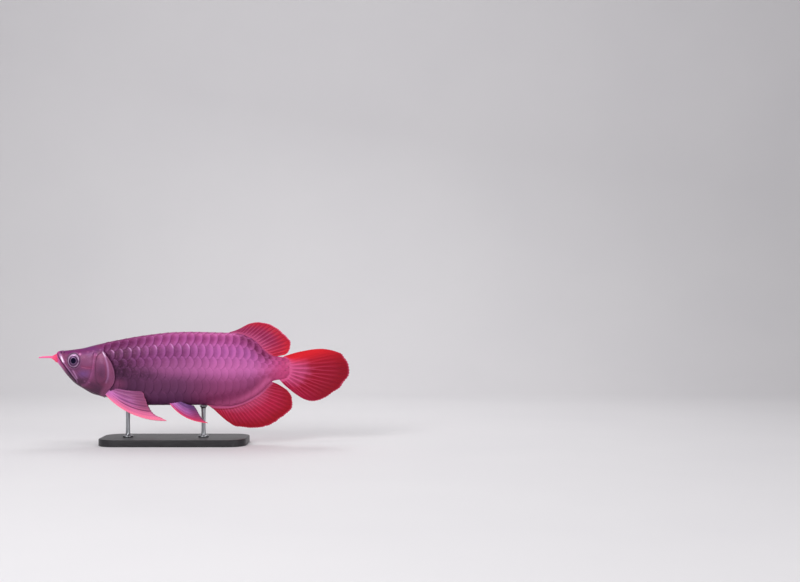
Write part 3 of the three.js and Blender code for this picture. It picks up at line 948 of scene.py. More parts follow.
@dataclass(frozen=True)
class EyeFinish:
    """An eye: black pupil, thin pale ring, dark mauve iris with fibres and a bright outer ring, painted
    brighter on its upper side as a highlight from above.
    """

    pupil: Colour = (14, 5, 34)
    ring: Colour = (116, 90, 126)
    iris: Colour = (70, 42, 74)
    fibre: Colour = (128, 88, 128)
    white_and_highlight: Colour = (210, 168, 208)
    pupil_edge: Span = (0.42, 0.45)
    iris_start: Span = (0.5, 0.55)
    white_start: Span = (0.76, 0.86)
    outer_edge: Span = (0.985, 1.02)

    def make(self) -> bpy.types.Material:
        """Builds the material.

        Returns:
            The material.
        """
        eye = Finish("eye", Coat_Weight=0.05, Coat_Roughness=0.02, Specular_IOR_Level=0.04)
        out, upper = eye.mark("out"), eye.mark("upper")
        fibres = eye.noise(eye.stretch(eye.mark_vector("local"), (14.0, 1.2, 1.0)), 2.0, 3.0)
        cloud = eye.noise(eye.coordinates(), 260.0, 3.0)
        iris = eye.mix(self.iris, self.fibre, fibres.step(0.4, 0.75) * 0.8)
        # The outer ring's own pale colour, painted stronger on the upper side as a highlight from above.
        shine = (out + upper * 0.05).step(*self.white_start) * (0.4 + upper * 0.6)
        colour = eye.layers(
            self.pupil, (self.ring, out.step(*self.pupil_edge)), (iris, out.step(*self.iris_start)),
            (self.white_and_highlight, shine * (0.75 + cloud * 0.4)), (self.pupil, out.step(*self.outer_edge) * 0.8))
        iris_area = out.step(0.40, 0.45)
        return eye.finish(Base_Color=colour, Metallic=iris_area * 0.45, Roughness=0.22 + cloud * 0.15,
                          Normal=eye.bump(fibres * iris_area, 0.12))


@dataclass(frozen=True)
class BarbelFinish:
    """A soft barbel, rosy at its root and pale pink towards its tip."""

    root: Colour = (236, 76, 116)
    tip: Colour = (246, 108, 160)

    def make(self) -> bpy.types.Material:
        """Builds the material.

        Returns:
            The material.
        """
        barbel = Finish("barbel_skin", Coat_Weight=0.08, Coat_Roughness=0.25, Specular_IOR_Level=0.2,
                        Subsurface_Weight=0.15, Subsurface_Scale=0.002)
        cloud = barbel.noise(barbel.coordinates(), 300.0, 3.0)
        reach = barbel.mark("along") + (cloud - 0.5) * 0.3
        colour = barbel.ramp(reach, (0.0, self.root), (0.5, self.tip), (1.0, self.tip))
        return barbel.finish(Base_Color=colour, Roughness=0.35 + cloud * 0.2, Normal=barbel.bump(cloud, 0.2))


@dataclass(frozen=True)
class StandFinish:
    """Satin black lacquer for the stand's base."""

    lacquer: Colour = (38, 37, 40)
    worn: Colour = (58, 57, 60)

    def make(self) -> bpy.types.Material:
        """Builds the material.

        Returns:
            The material.
        """
        base = Finish("stand_lacquer", Coat_Weight=0.1, Coat_Roughness=0.2, Specular_IOR_Level=0.3)
        place = base.coordinates()
        grain = base.noise(base.stretch(place, (1.0, 9.0, 9.0)), 60.0, 6.0)
        speck = base.noise(place, 1500.0, 2.0)
        colour = base.mix(self.lacquer, self.worn, grain.step(0.4, 0.75) * 0.6)
        return base.finish(Base_Color=colour, Roughness=0.34 + grain * 0.18,
                           Normal=base.bump(grain + speck * 0.4, 0.05))


@dataclass(frozen=True)
class SteelFinish:
    """Brushed steel for the stand's rods and fittings."""

    steel: Colour = (176, 178, 182)
    shade: Colour = (140, 142, 147)

    def make(self) -> bpy.types.Material:
        """Builds the material.

        Returns:
            The material.
        """
        rod = Finish("brushed_steel", Metallic=1.0)
        brushed = rod.noise(rod.stretch(rod.coordinates(), (1.0, 1.0, 60.0)), 60.0, 4.0)
        return rod.finish(Base_Color=rod.mix(self.shade, self.steel, brushed),
                          Roughness=0.24 + brushed * 0.16, Normal=rod.bump(brushed, 0.02))


# Body


@dataclass(frozen=True)
class HeadRelief:
    """Bones, seams, lips and rims of the head, as a height over the smooth skin, and the marks they carry."""

    gill_edge: Line = Line((
        (83, 56), (82.5, 46), (82, 36), (84.5, 29), (91.6, 21.2), (98.6, 10.3), (102.3, 0), (103.8, -9),
        (103, -20), (98.5, -28.5), (90, -37), (84, -46), (81, -56)))
    plate_edge: Line = Line((
        (80.5, 31), (81.9, 28.9), (87.6, 22), (91.3, 10.4), (92.1, -1.2), (90.8, -11), (86.6, -18.9),
        (78.3, -23.8)))
    plate_front: Line = Line(((79, 28), (75, 25), (71.3, 14), (70.8, -1), (71.3, -14), (73, -22), (77, -25)))
    preopercle: Line = Line(((68.5, 27), (67, 12), (65, -2), (62, -13), (54.5, -24), (46, -28)))
    cheek_seam: Line = Line(((47, 5), (55, 3.6), (65, 3.4)))
    lower_seam: Line = Line(((37, -1.5), (45, -9), (54, -15), (61, -17)))
    mouth: Line = Line(((2.9, 27), (5.2, 21), (8.9, 15.8), (16.3, 6), (26, -6.7), (35.4, -19.6)))
    upper_lip: Line = Line(((8.3, 24.4), (10.2, 20.8), (12.4, 16.8), (14.8, 12.2)))
    gill_light: Line = Line((
        (83.2, 29.5), (86, 24), (89.5, 15.5), (91.8, 6), (92.6, -3), (91.8, -13), (88.5, -22)))
    red_band: Line = Line(((86.5, 12), (88.8, 3), (89, -6), (87.2, -15)))
    jaw_light: Line = Line(((-1.6, 15.2), (5.3, 7.4), (13.2, -2.5), (19.1, -12.3)))
    cheek_light: Line = Line(((31, -1), (34.5, -7), (38, -14.5)))
    maxilla: Line = Line(((14, 25.5), (21, 15), (30, 3.5), (38.5, -8), (43.5, -18)))
    jaw_seam: Line = Line(((11, 2), (22, -11), (36, -24.5), (49, -30.5)))
    eye: Span = (32.6, 15.1)
    eye_ring: float = 10.3
    eye_squash: float = 0.88
    nostrils: Table = ((10.0, 27.5), (14.5, 28.6))
    pores: Table = (
        (43.1, 26.1, 0.7), (51, 21, 0.1), (72, 24.8, 0.4), (88, 32.8, 0.7), (57, 29.5, 0.1), (66, 31.5, 0.1),
        (51, -20, 0.1), (59, -22, 0.1), (78, 33.5, 0.1))
    gill_top: Span = (35.0, 27.0)
    mouth_end: tuple[Span, ...] = ((40, 33),)
    head_end: Span = (110.0, 104.0)
    cover_height: float = 0.5
    cover_rim: float = 0.8
    slit_depth: float = 2.6
    plate_height: float = 0.7
    jaw_height: float = 0.7
    fold_height: float = 0.25
    fold_pitch: float = 1.5
    ridges: tuple[Stroke, ...] = (
        Stroke(mouth, -1.8, 0.75, 0.0, mouth_end), Stroke(mouth, 0.6, 1.2, 1.9, mouth_end),
        Stroke(mouth, 0.6, 1.1, -1.7, mouth_end), Stroke(upper_lip, 0.6, 1.5), Stroke(cheek_seam, -0.3, 0.8),
        Stroke(lower_seam, -0.3, 0.8), Stroke(maxilla, -0.35, 0.7), Stroke(jaw_seam, -0.3, 0.9),
        Stroke(preopercle, 0.5, 1.8), Stroke(preopercle, -0.5, 0.9, -2.8), Stroke(preopercle, -0.3, 1.0, 3.0))
    nostril_bells: Table = ((0.35, 0.6, 1.6), (-1.3, 0.9, 0.0))
    pore_bells: Table = ((-0.35, 0.8, 0.0),)
    socket_bells: Table = ((0.75, 1.1, 1.5),)
    socket_depth: float = 1.2
    # A painted highlight on the socket's rim, and painted shade where the eye meets the socket.
    socket_light: Table = ((0.12, 1.2, 1.6),)
    socket_shade: Table = ((1.0, 0.7, 0.0),)
    pore_widths: Place = (1.5, 0.8, 1.8)
    pore_white: float = 0.6
    lip_rose: float = 0.95
    jaw_rose: float = 0.45
    # Light lines: painted highlights along the gill cover's rim, the lips, the mouth, the jaw and the cheek.
    light_strokes: tuple[Stroke, ...] = (
        Stroke(gill_light, 0.245, 1.5), Stroke(gill_light, 0.455, 1.5, heights=((-25, 15),)),
        Stroke(upper_lip, 1.0, 2.2), Stroke(jaw_light, 0.6, 3.0, stations=((20, 9),)),
        Stroke(gill_edge, 0.16, 0.9, -0.6, heights=(gill_top,)),
        Stroke(mouth, 0.5, 0.9, 2.7, stations=((15, 19), (40, 36))), Stroke(preopercle, 0.08, 2.4),
        Stroke(cheek_light, 0.65, 1.4, heights=((-18, -13), (1, -3))))
    # Bright painted highlights on the upper lip and the top of the gill cover's rim.
    white_highlight_strokes: tuple[Stroke, ...] = (
        Stroke(upper_lip, 1.0, 1.2, heights=((23.5, 20.5), (11.5, 14))),
        Stroke(gill_light, 0.7, 1.0, heights=((19, 24), (31, 28))))
    # Dark seams at the bones' joints, and painted shade in the mouth's gape.
    seam_and_shade_strokes: tuple[Stroke, ...] = (
        Stroke(mouth, 1.0, 0.9, 0.0, mouth_end), Stroke(preopercle, 0.18, 1.3, -2.8),
        Stroke(plate_front, 0.3, 1.6), Stroke(cheek_seam, 0.3, 0.6), Stroke(lower_seam, 0.3, 0.6),
        Stroke(jaw_seam, 0.3, 0.7))
    rose_strokes: tuple[Stroke, ...] = (Stroke(preopercle, 0.12, 3.6), Stroke(cheek_seam, 0.05, 2.4))
    warm_strokes: tuple[Stroke, ...] = (Stroke(red_band, 0.6, 2.0), Stroke(cheek_seam, 0.35, 2.2))
    warm_spots: Table = (
        (58, -28, 9, 4, 0.35), (72, 22, 6, 3, 0.4), (92, -27, 8, 6, 0.6), (52, 31, 12, 3, 0.4),
        (58, 3, 7, 2.5, 0.5), (75, 40, 10, 5, 0.5))
    cool_spots: Table = ((47, -7.5, 8, 6, 0.7), (57, -6, 7, 6, 0.35))
    # Painted shade under and behind the eye, at the mouth's corner, on the jaw, the throat, the nape and the
    # gill cover.
    shade_spots: Table = (
        (81, -7, 9, 13, 0.58), (66, -27, 9, 3, 0.3), (35, 1.5, 8, 3.2, 0.55), (25, -4, 5, 6, 0.55),
        (43, 14, 2.4, 9, 0.35), (54, -23, 8, 6, 0.55), (76, 30, 6, 3.5, 0.4), (18, -6, 6, 6, 0.6))
    pale_spots: Table = (
        (82, 17, 5, 7, 0.5), (58, 13, 9, 5, 0.12), (96, 4, 2.5, 12, 0.3), (68, 14, 6, 4, 0.3))

    def before_gill_edge(self, s: Array, h: Array) -> Array:
        """Distance in front of the gill cover's edge, negative behind it."""
        return self.gill_edge.offset(s, h) * -1

    def from_eye_ring(self, s: Array, h: Array) -> Array:
        """Distance from the eye's ring, shortened up and down because the eye is taller than long."""
        return np.hypot(s - self.eye[0], (h - self.eye[1]) * self.eye_squash) - self.eye_ring

    def pore_glow(self, s: Array, h: Array, width: float) -> Array:
        """Spots of one width on the pores, each as strong as its own share."""
        return spots(s, h, [(x, z, width, width, share) for x, z, share in self.pores])

    def rise(self, s: Array, h: Array) -> Array:
        """Height of the relief.

        Each bone is a soft step along its edge, each seam a narrow bell cut in, each lip or rim a bell
        raised, and the folds of the throat are a sine.

        Args:
            s: stations.
            h: heights.

        Returns:
            Millimetres above the smooth skin.
        """
        ahead = self.before_gill_edge(s, h)
        cover = self.cover_height * ease(-0.2, 0.5, ahead) * ease(40, 6, ahead)
        cover += self.cover_rim * hump(ahead - 1.6, 1.5) * ease(-0.3, 0.4, ahead)
        slit = self.slit_depth * ease(0.1, -0.6, ahead) * ease(-9, -2, ahead)
        plate = ease(-0.5, 0.6, -self.plate_edge.offset(s, h))
        plate *= ease(-1.2, 1.2, self.plate_front.offset(s, h))
        lift = (cover - slit + self.plate_height * plate) * ease(*self.gill_top, h)
        lift += strokes(s, h, self.ridges)
        jaw = ease(-0.6, 0.6, self.mouth.offset(s, h)) * ease(0.6, -0.8, self.maxilla.offset(s, h))
        lift += self.jaw_height * jaw * ease(44, 40, s)
        from_ring = self.from_eye_ring(s, h)
        lift += bells(from_ring, self.socket_bells) - self.socket_depth * ease(0.8, -0.6, from_ring)
        for x, z in self.nostrils:
            lift += bells(np.hypot(s - x, h - z), self.nostril_bells)
        for x, z, _ in self.pores:
            lift += bells(np.hypot(s - x, h - z), self.pore_bells)
        folds = np.sin((h + 0.55 * s) * self.fold_pitch) * ease(-30, -38, h)
        folds *= ease(38, 50, s) * ease(92, 80, s)
        return lift + self.fold_height * folds

    def marks(self, s: Array, h: Array) -> dict[str, Array]:
        """Marks for the finish: light and bright lines that are mostly painted highlights, dark seams with
        painted shade in the mouth's gape, under the gill cover's rim, round the eye and in the nostrils,
        rosy, warm and cool places, places of painted shade, and pale places.

        Each is a sum of strokes and spots. The gill membrane is the strip behind the gill cover's edge.

        Args:
            s: stations.
            h: heights.

        Returns:
            The marks by name, 0 to 1.
        """
        ahead, opened = self.before_gill_edge(s, h), ease(*self.gill_top, h)
        from_ring = self.from_eye_ring(s, h)
        head = ease(*self.head_end, s)
        glows = [self.pore_glow(s, h, width) for width in self.pore_widths]
        light = strokes(s, h, self.light_strokes) + bells(from_ring, self.socket_light) + glows[0]
        white_and_highlight = strokes(s, h, self.white_highlight_strokes) + self.pore_white * glows[1]
        seam_and_shade = strokes(s, h, self.seam_and_shade_strokes) + bells(from_ring, self.socket_shade)
        # Painted shadow in the slit under the gill cover's rim, and painted shade in the nostrils.
        seam_and_shade += ease(-0.1, -0.9, ahead) * ease(-7, -3, ahead) * opened
        seam_and_shade += spots(s, h, [(x, z, 1.0, 1.0, 1.0) for x, z in self.nostrils])
        rose = strokes(s, h, self.rose_strokes) + glows[2]
        rose += self.lip_rose * ease(8.5, 4, s) * ease(31.5, 28, h)
        rose += self.jaw_rose * ease(26, 6, s) * ease(0.8, -0.8, self.mouth.offset(s, h))
        warm = strokes(s, h, self.warm_strokes) + spots(s, h, self.warm_spots)
        membrane = ease(-0.2, 0.3, ahead) * ease(13, 6, ahead) * opened
        marks = {"light": light * head, "white_and_highlight": white_and_highlight * head, "seam_and_shade": seam_and_shade * head, "rose": rose,
                 "warm": warm, "cool": spots(s, h, self.cool_spots), "shade": spots(s, h, self.shade_spots),
                 "pale": spots(s, h, self.pale_spots), "membrane": membrane * head}
        return {name: np.clip(values, 0, 1) for name, values in marks.items()}


@dataclass(frozen=True)
class BodySkin:
    """One skin from snout to tail root. It is fine over the head, with all relief, and plain under scales."""

    nose: tuple[float, ...] = (-1.6, -1.45, -1.2, -0.85, -0.4, 0.1)
    head_start: float = 0.6
    head_end: float = 112.0
    end: float = 402.0
    head_step: float = 0.72
    body_step: float = 3.6
    around: int = 400
    under_scales: float = 0.8
    tail_taper: float = 3.0
    least: float = 0.2
    map_margin: float = 0.01
    map_turn: float = 0.996
    relief: HeadRelief = HeadRelief()

    def build(self) -> bpy.types.Object:
        """Builds the skin.

        Rings of points follow the fish's sections. Each point is lifted by the head's relief, and behind
        the gill covers sunk by the depth of the scales. It never comes nearer the middle plane than the
        least half width.

        Returns:
            The dressed piece.
        """
        head = np.arange(self.head_start, self.head_end, self.head_step)
        body = np.arange(self.head_end, self.end, self.body_step)
        stations = np.concatenate([self.nose, head, body, [self.end]])
        s, turn = np.meshgrid(stations, np.arange(self.around) / self.around, indexing="ij")
        _, h = FORM.section(s, turn)
        near = s < self.head_end
        rise = np.zeros_like(s)
        rise[near] = self.relief.rise(s[near], h[near]) * ease(-1.2, 1.5, s[near])
        rise -= self.under_scales * ease(1, -4, self.relief.before_gill_edge(s, h))
        rise -= self.tail_taper * ease(380, 402, s)
        points = FORM.skin(s, turn, np.maximum(rise, self.least - FORM.breadth(s))).reshape(-1, 3)
        ends = np.vstack([points[:self.around].mean(0), points[-self.around:].mean(0)])
        marks = self.relief.marks(s, h) | BodyPatches().marks(s, h)
        marks |= {"station": s, "level": FORM.level(s, h)}
        marks = {name: np.r_[values.ravel(), values[0, 0], values[-1, 0]] for name, values in marks.items()}
        along = s / self.end * (1 - 2 * self.map_margin) + self.map_margin
        bake = np.stack([along, turn * self.map_turn], axis=-1).reshape(-1, 2)
        beyond = np.array([1 - self.map_turn, 0])
        bake = np.vstack([bake, bake[0] - beyond, bake[-1] + beyond])
        piece = make_piece("fish_skin", np.vstack([points, ends]), *ring_faces(len(stations), self.around),
                           marks, bake)
        return settle(piece, SkinFinish().make(), "skin", "head", "lower_jaw", "gill_cover_left",
                      "gill_cover_right", "trunk", "tail_peduncle")


@dataclass(frozen=True)
class ScaleCoat:
    """Large overlapping scales in staggered rows, each a thin closed plate with a rounded free edge."""

    columns: int = 22
    extra_columns: int = 2
    rows: int = 14
    first: float = 84.0
    last: float = 377.0
    narrowing: float = 0.3
    overhang: float = 5.0
    length: float = 1.8
    half_height: float = 0.62
    roundness: float = 0.93
    edge_depth: float = 12.0
    edge_shift: float = 0.35
    edge_wave: float = 0.12
    edge_waves: float = 9.0
    height_shift: float = 0.03
    front_narrowing: float = 0.25
    sunk: float = -0.45
    tilt: float = 0.95
    low_share: float = 0.35
    tail_share: float = 0.3
    crown: float = 0.14
    curl: float = 0.25
    thickness: float = 0.3
    lengthwise: int = 12
    crosswise: int = 13
    lateral_row: int = 4
    lateral_height: float = 0.35
    glint_row: int = 2
    dive: float = 3.6
    tail_taper: float = 2.6
    least: float = 0.5
    end: float = 401.0
    grain_spread: float = 40.0
    strips: Table = ((0.04, 0.74), (0.84, 0.12))
    seed: int = 11

    def places(self, rows: list[int]) -> tuple[Array, Array, Array, Array]:
        """Where scales stand.

        Free edges follow each other at a pitch that shrinks towards the tail, and every second row stands
        half a pitch further back.

        Args:
            rows: which rows, counted from the back down the left flank and up the right.

        Returns:
            The station of each scale's rearmost point, the pitch there, its row, and its column, each of
            the shape scales by 1 by 1.
        """
        column, row = np.meshgrid(np.arange(self.columns + self.extra_columns), rows, indexing="ij")
        column, row = column.reshape(-1, 1, 1), row.reshape(-1, 1, 1)
        share = column / self.columns
        edge = self.first + (self.last - self.first) * share * (1 + self.narrowing / 2 * (1 - share))
        pitch = (self.last - self.first) / self.columns * (1 - self.narrowing * (share - 0.5))
        tip = edge + pitch * 0.5 * (row % 2) + self.overhang * (1 - self.narrowing * share)
        return tip, pitch, row, column

    def build(self, name: str, rows: list[int]) -> bpy.types.Object:
        """Builds some rows of scales as one piece.

        Across a scale v runs from -1 to 1. Its free edge falls forward by edge_depth times 1 minus the root
        of 1 minus roundness v squared, its front lies length pitches ahead of the rearmost point, and the
        plate tilts from sunk at the front to sunk + tilt at the free edge, so that each covers the next.
        The tilt is weaker low on the flank and towards the tail, and the plates dive under the gill cover's
        edge.

        Args:
            name: the piece's name.
            rows: which rows.

        Returns:
            The dressed piece.
        """
        tip, pitch, row, column = self.places(rows)
        rng = np.random.default_rng(self.seed + rows[0])
        ahead_shift, wave_shift, own_shift = rng.uniform(-0.5, 0.5, (len(tip), 3)).T[..., None, None]
        a = (np.linspace(0, 1, self.lengthwise) ** 0.85)[None, :, None]
        v = np.sin(np.linspace(-1, 1, self.crosswise) * math.pi / 2)[None, None, :]
        arch, size = 1 - v**2, pitch / pitch.max()
        edge = tip - self.edge_depth * size * (1 - np.sqrt(1 - self.roundness * v**2))
        edge = edge + self.edge_shift * ahead_shift
        edge = edge + self.edge_wave * np.sin(v * self.edge_waves + wave_shift * 12)
        front = tip - self.length * pitch
        s = front + a * (edge - front)
        half = self.half_height * (1 + self.height_shift * own_shift)
        half = half * (1 - self.front_narrowing * (1 - a) ** 2)
        turn = np.broadcast_to((row + v * half) / self.rows, s.shape)
        way = (s - front) / (self.length * pitch)
        _, h = FORM.section(s, np.mod(turn, 1))
        steep = self.low_share + (1 - self.low_share) * ease(0.3, 0.6, FORM.level(s, h))
        steep = steep * (1 - (1 - self.tail_share) * ease(330, 372, s))
        lift = (self.sunk + self.tilt * way + self.crown * arch * size - self.curl * v**8) * steep
        lateral = np.isin(row, (self.lateral_row, self.rows - self.lateral_row)) * self.lateral_height
        lift = lift + lateral * hump(v * 10 * size, 1.3) * ease(0.35, 0.5, a) * ease(0.98, 0.85, a)
        lift = lift - self.dive * ease(-2.2, 0.8, HeadRelief().before_gill_edge(s, h))
        lift = np.maximum(lift - self.tail_taper * ease(382, 400, s), self.least - FORM.breadth(s))
        s = np.minimum(s, self.end)
        faces = [FORM.skin(s, np.mod(turn, 1), lift - depth) for depth in (0, self.thickness)]
        points = np.stack(faces, axis=1).reshape(-1, 3)
        pattern = plate_quads(self.lengthwise, self.crosswise)
        starts = np.arange(len(tip))[:, None, None] * 2 * self.lengthwise * self.crosswise
        quads = (pattern[None] + starts).reshape(-1, 4)
        rim = np.maximum(np.broadcast_to(a, s.shape), v**2 * a)
        second = np.isin(row, (self.glint_row, self.rows - self.glint_row)) * (wave_shift + 0.65)
        upward = v * np.where(row < self.rows / 2, -1, 1)
        glint = second * ease(0.2, 0.45, upward) * ease(1.0, 0.88, upward) * ease(330, 190, s)
        own = np.broadcast_to(own_shift + 0.5, s.shape)
        marks = {"station": s, "level": FORM.level(s, h), "rim": rim, "own": own,
                 "glint": np.clip(glint, 0, 1)} | BodyPatches().marks(s, h)
        marks = {key: np.stack([values, values], axis=1).ravel() for key, values in marks.items()}
        local = np.stack(np.broadcast_arrays(rim + ahead_shift * self.grain_spread,
                                             v + wave_shift * self.grain_spread, 0 * s), axis=-1)
        marks["local"] = np.stack([local, local], axis=1).reshape(-1, 3)
        piece = make_piece(name, points, quads, marks=marks, bake=self.bake_places(a, v, row, column, rows))
        return settle(piece, ScaleFinish().make(), "skin")

    def bake_places(self, a: Array, v: Array, row: Array, column: Array, rows: list[int]) -> Array:
        """A flat cell for each scale, at its column and row on the unrolled skin.

        The upper face fills most of the cell and the under face a narrow strip beside it.

        Args:
            a: shares along a scale.
            v: shares across, -1 to 1.
            row: each scale's row.
            column: each scale's column.
            rows: the rows that share the map.

        Returns:
            A place for each point.
        """
        u = (column + 0.05 + 0.9 * a) / (self.columns + self.extra_columns)
        order = np.searchsorted(rows, row)
        across = 0.5 + 0.5 * v
        flat = [np.stack(np.broadcast_arrays(u, (order + start + room * across) / len(rows)), axis=-1)
                for start, room in self.strips]
        return np.stack(flat, axis=1).reshape(-1, 2)


# Fins


class Branching(Enum):
    """How often a fin ray splits on its way to the edge."""

    ONCE = 1
    TWICE = 2


@dataclass(frozen=True)
class Fin:
    """A thin closed sheet of membrane with raised rays that branch towards its edge.

    sheath is how far skin and scales reach over the root, and flare how far they bulge there. plain is how
    smooth the leading part is. bold lists dark webs, each with its share of the width and its strength.
    """

    name: str
    rays: int
    root: Table
    edge: Table
    finish: FinFinish
    branching: Branching = Branching.ONCE
    bow_first: Place = (0.0, 0.0, 0.0)
    bow_last: Place = (0.0, 0.0, 0.0)
    lean: Place = (0.0, 0.0, 0.0)
    split: Span = (0.35, 0.8)
    root_thickness: float = 3.0
    tip_thickness: float = 0.8
    web: float = 0.36
    sheath: float = 0.0
    sheath_blur: float = 2.0
    flare: float = 0.0
    plain: float = 0.0
    bold: Table = ()
    bold_width: float = 0.02
    scallop: float = 0.012
    fray: float = 0.024
    teeth_per_ray: float = 1.7
    ruffle: float = 0.8
    waves: float = 3.0
    lead_width: float = 0.02
    lead_thickness: float = 0.8
    ray_width: float = 0.21
    forks: Span = (0.25, 0.125)
    fork_thinning: Span = (0.08, 0.04)
    smooth_ray: float = 0.6
    smoothing: float = 0.85
    per_ray: int = 18
    rows: int = 60
    seed: int = 5

    def curve(self, knots: Table) -> Path:
        """A curve through places given as [station, height] or [station, distance to the right, height]."""
        full = [(p[0], 0.0, p[1]) if len(p) == 2 else p for p in knots]
        return Path(tuple(tuple(FORM.place(*p)) for p in full))

    def ridge(self, cell: Array, g: Array) -> Array:
        """How raised the rays are, 0 on the web to 1 on a ray's crest.

        A ray is a bell round its middle. It splits into two bells that move apart between the two shares of
        the way out that split names, and where it branches twice, each of those splits again.

        Args:
            cell: place across a ray's own strip, -0.5 to 0.5.
            g: share of the way from root to edge.

        Returns:
            Heights from 0 to 1.
        """
        once = ease(*self.split, g)
        twice = ease(self.split[1], 1.0, g) if self.branching is Branching.TWICE else 0 * g
        width = self.ray_width - self.fork_thinning[0] * once - self.fork_thinning[1] * twice
        strands = [hump(cell - side * self.forks[0] * once - turn * self.forks[1] * twice, width)
                   for side in (-1, 1) for turn in (-1, 1)]
        return np.maximum.reduce(strands)

    def sheet(self, f: Array, g: Array) -> tuple[Array, Array]:
        """The middle sheet of the fin.

        A point at share f of the width and g of the way out lies between the root and edge curves at f,
        pushed aside by the bow times 4g(1 - g) and by a ripple that grows with the square of g.

        Args:
            f: shares of the width.
            g: shares of the way out.

        Returns:
            The points, and the directions square to the sheet.
        """
        root, edge = (self.curve(knots)(f[:, 0])[:, None] for knots in (self.root, self.edge))
        first, last = np.array(self.bow_first), np.array(self.bow_last)
        bow = (first + (last - first) * f[..., None]) * (4 * g * (1 - g))[..., None]
        middle = root + (edge - root) * g[..., None] + bow
        normal = np.cross(np.gradient(middle, axis=0), np.gradient(middle, axis=1))
        normal /= np.maximum(np.linalg.norm(normal, axis=-1, keepdims=True), 1e-9)
        ripple = self.ruffle * np.sin(f * 2 * math.pi * self.waves + 1.0) * g**2
        return middle + normal * ripple[..., None], normal

    def build(self, side: int = 1, name: str | None = None) -> bpy.types.Object:
        """Builds the fin.

        Both faces stand half a thickness off the middle sheet. The edge is cut in by scallops between the
        rays and by random teeth. The right fin of a pair hangs further forward and down than the left one,
        by the first two shares in lean of its distance beyond the third value.

        Args:
            side: 1 as drawn, -1 mirrored in the fish's middle plane.
            name: the piece's name, if not the fin's own.

        Returns:
            The dressed piece.
        """
        columns = self.rays * self.per_ray
        c, r = np.meshgrid(np.arange(columns + 1), np.arange(self.rows + 1), indexing="ij")
        f, out = c / columns, r / self.rows
        cell = np.mod(f * self.rays, 1) - 0.5
        cell[-1] = 0.5
        rng = np.random.default_rng(self.seed)
        teeth = rng.uniform(0, 1, int(self.rays * self.teeth_per_ray) + 1) ** 3
        rough = np.interp(f[:, :1], np.linspace(0, 1, len(teeth)), teeth)
        cut = self.scallop * (1 - self.ridge(cell, np.ones_like(out))) + self.fray * rough
        g = out * (1 - cut * ease(0.0, 0.1, f))
        middle, normal = self.sheet(f, g)
        lead = hump(f, self.lead_width) * ease(0.0, 0.1, g)
        knots = self.curve(self.root)(np.linspace(0, 1, 80))
        reach = np.min([np.linalg.norm(middle - knot, axis=-1) for knot in knots], axis=0)
        sheath, hem, bulge = 0 * g, 0 * g, 0 * g
        if self.sheath:
            sheath = ease(self.sheath + self.sheath_blur, self.sheath - self.sheath_blur, reach)
            hem = hump(reach - self.sheath - 0.5, 1.1)
            bulge = self.flare * ease(self.sheath, 0, reach) ** 2
        smooth = np.maximum(sheath, self.plain * ease(0.5, 0.2, f))
        if self.bold:
            smooth = np.maximum(smooth, ease(0.2, 0.08, g))
        bold = bells(f, [(share, self.bold_width, place) for place, share in self.bold]) * ease(0.2, 0.4, g)
        ridge = self.ridge(cell, g) * ease(0.0, 0.02, f) ** 0.5
        ridge = np.maximum(ridge + (self.smooth_ray - ridge) * self.smoothing * smooth, lead)
        thick = self.root_thickness + (self.tip_thickness - self.root_thickness) * g**0.8
        thick = thick * (self.web + (1 - self.web) * ridge) + self.lead_thickness * lead * (1 - 0.6 * g)
        half = 0.5 * thick + bulge
        points = np.stack([middle + normal * half[..., None] * way for way in (1, -1)]).reshape(-1, 3)
        if side < 0:
            beyond = -points[:, 1] - self.lean[2]
            points -= np.stack([self.lean[0] * beyond, 2 * points[:, 1], self.lean[1] * beyond], axis=-1)
        marks = {"ray": ridge, "along": out, "across": f, "lead": lead, "sheath": sheath, "hem": hem,
                 "smooth": smooth, "bold": bold}
        marks = {key: np.stack([values, values]).ravel() for key, values in marks.items()}
        piece = make_piece(name or self.name, points, plate_quads(columns + 1, self.rows + 1), marks=marks)
        return settle(piece, self.finish.make(), "fins", name or self.name)


DORSAL = Fin(
    "dorsal_fin", 19,
    root=((285, 57), (300, 56.5), (314, 54), (329, 48), (338, 41.5), (344, 34), (350, 27.5), (356, 22.5),
          (362, 18.5)),
    edge=((296, 63.2), (307, 66.8), (314, 70), (321, 74), (332, 78.9), (342, 80.4), (352, 80.1), (362, 78),
          (371, 73.5), (380, 67.9), (387, 61.8), (394, 55.1), (398.5, 50.2), (400.8, 44), (399.8, 38),
          (397.7, 32), (395, 27.6), (390.5, 24.3)),
    finish=FinFinish(
        "dorsal_fin_skin", root=(190, 76, 130), middle=(158, 40, 90), edge=(190, 28, 54), rim=(228, 104, 146),
        first=(160, 54, 116), last=(216, 28, 36), lead=(176, 64, 116), web=(124, 16, 54),
        crest=(220, 84, 128), sheath=(190, 80, 128), first_share=0.85, last_share=0.75, web_share=0.42,
        crest_share=0.25, hem_share=0.2, joints=120.0),
    split=(0.6, 1.0), sheath=8.5, flare=2.5, rows=66)
ANAL = Fin(
    "anal_fin", 26,
    root=((252, -56.5), (270, -58.5), (285, -59), (300, -57.5), (315, -53), (330, -46), (346, -35),
          (354, -26.5), (362, -19.5)),
    edge=((262, -63), (276, -76.2), (285.5, -84.6), (295, -92.2), (305, -97.9), (318, -100.2), (336, -101.2),
          (348, -100.3), (359, -98.2), (372, -92.6), (386, -82.6), (396, -74.2), (401.7, -68.3), (403.2, -60),
          (402.8, -51), (401, -45.5), (396, -38), (388, -31.8), (377, -25.5)),
    finish=FinFinish(
        "anal_fin_skin", root=(200, 74, 118), middle=(186, 28, 68), edge=(154, 2, 26), rim=(196, 60, 92),
        first=(208, 34, 66), last=(162, 16, 46), lead=(220, 64, 92), web=(122, 8, 38), crest=(212, 76, 118),
        sheath=(186, 88, 136), first_share=0.6, last_share=0.65, web_share=0.38, crest_share=0.25,
        hem_share=0.85),
    split=(0.68, 1.0), sheath=9.0, flare=4.0, per_ray=16, rows=72)
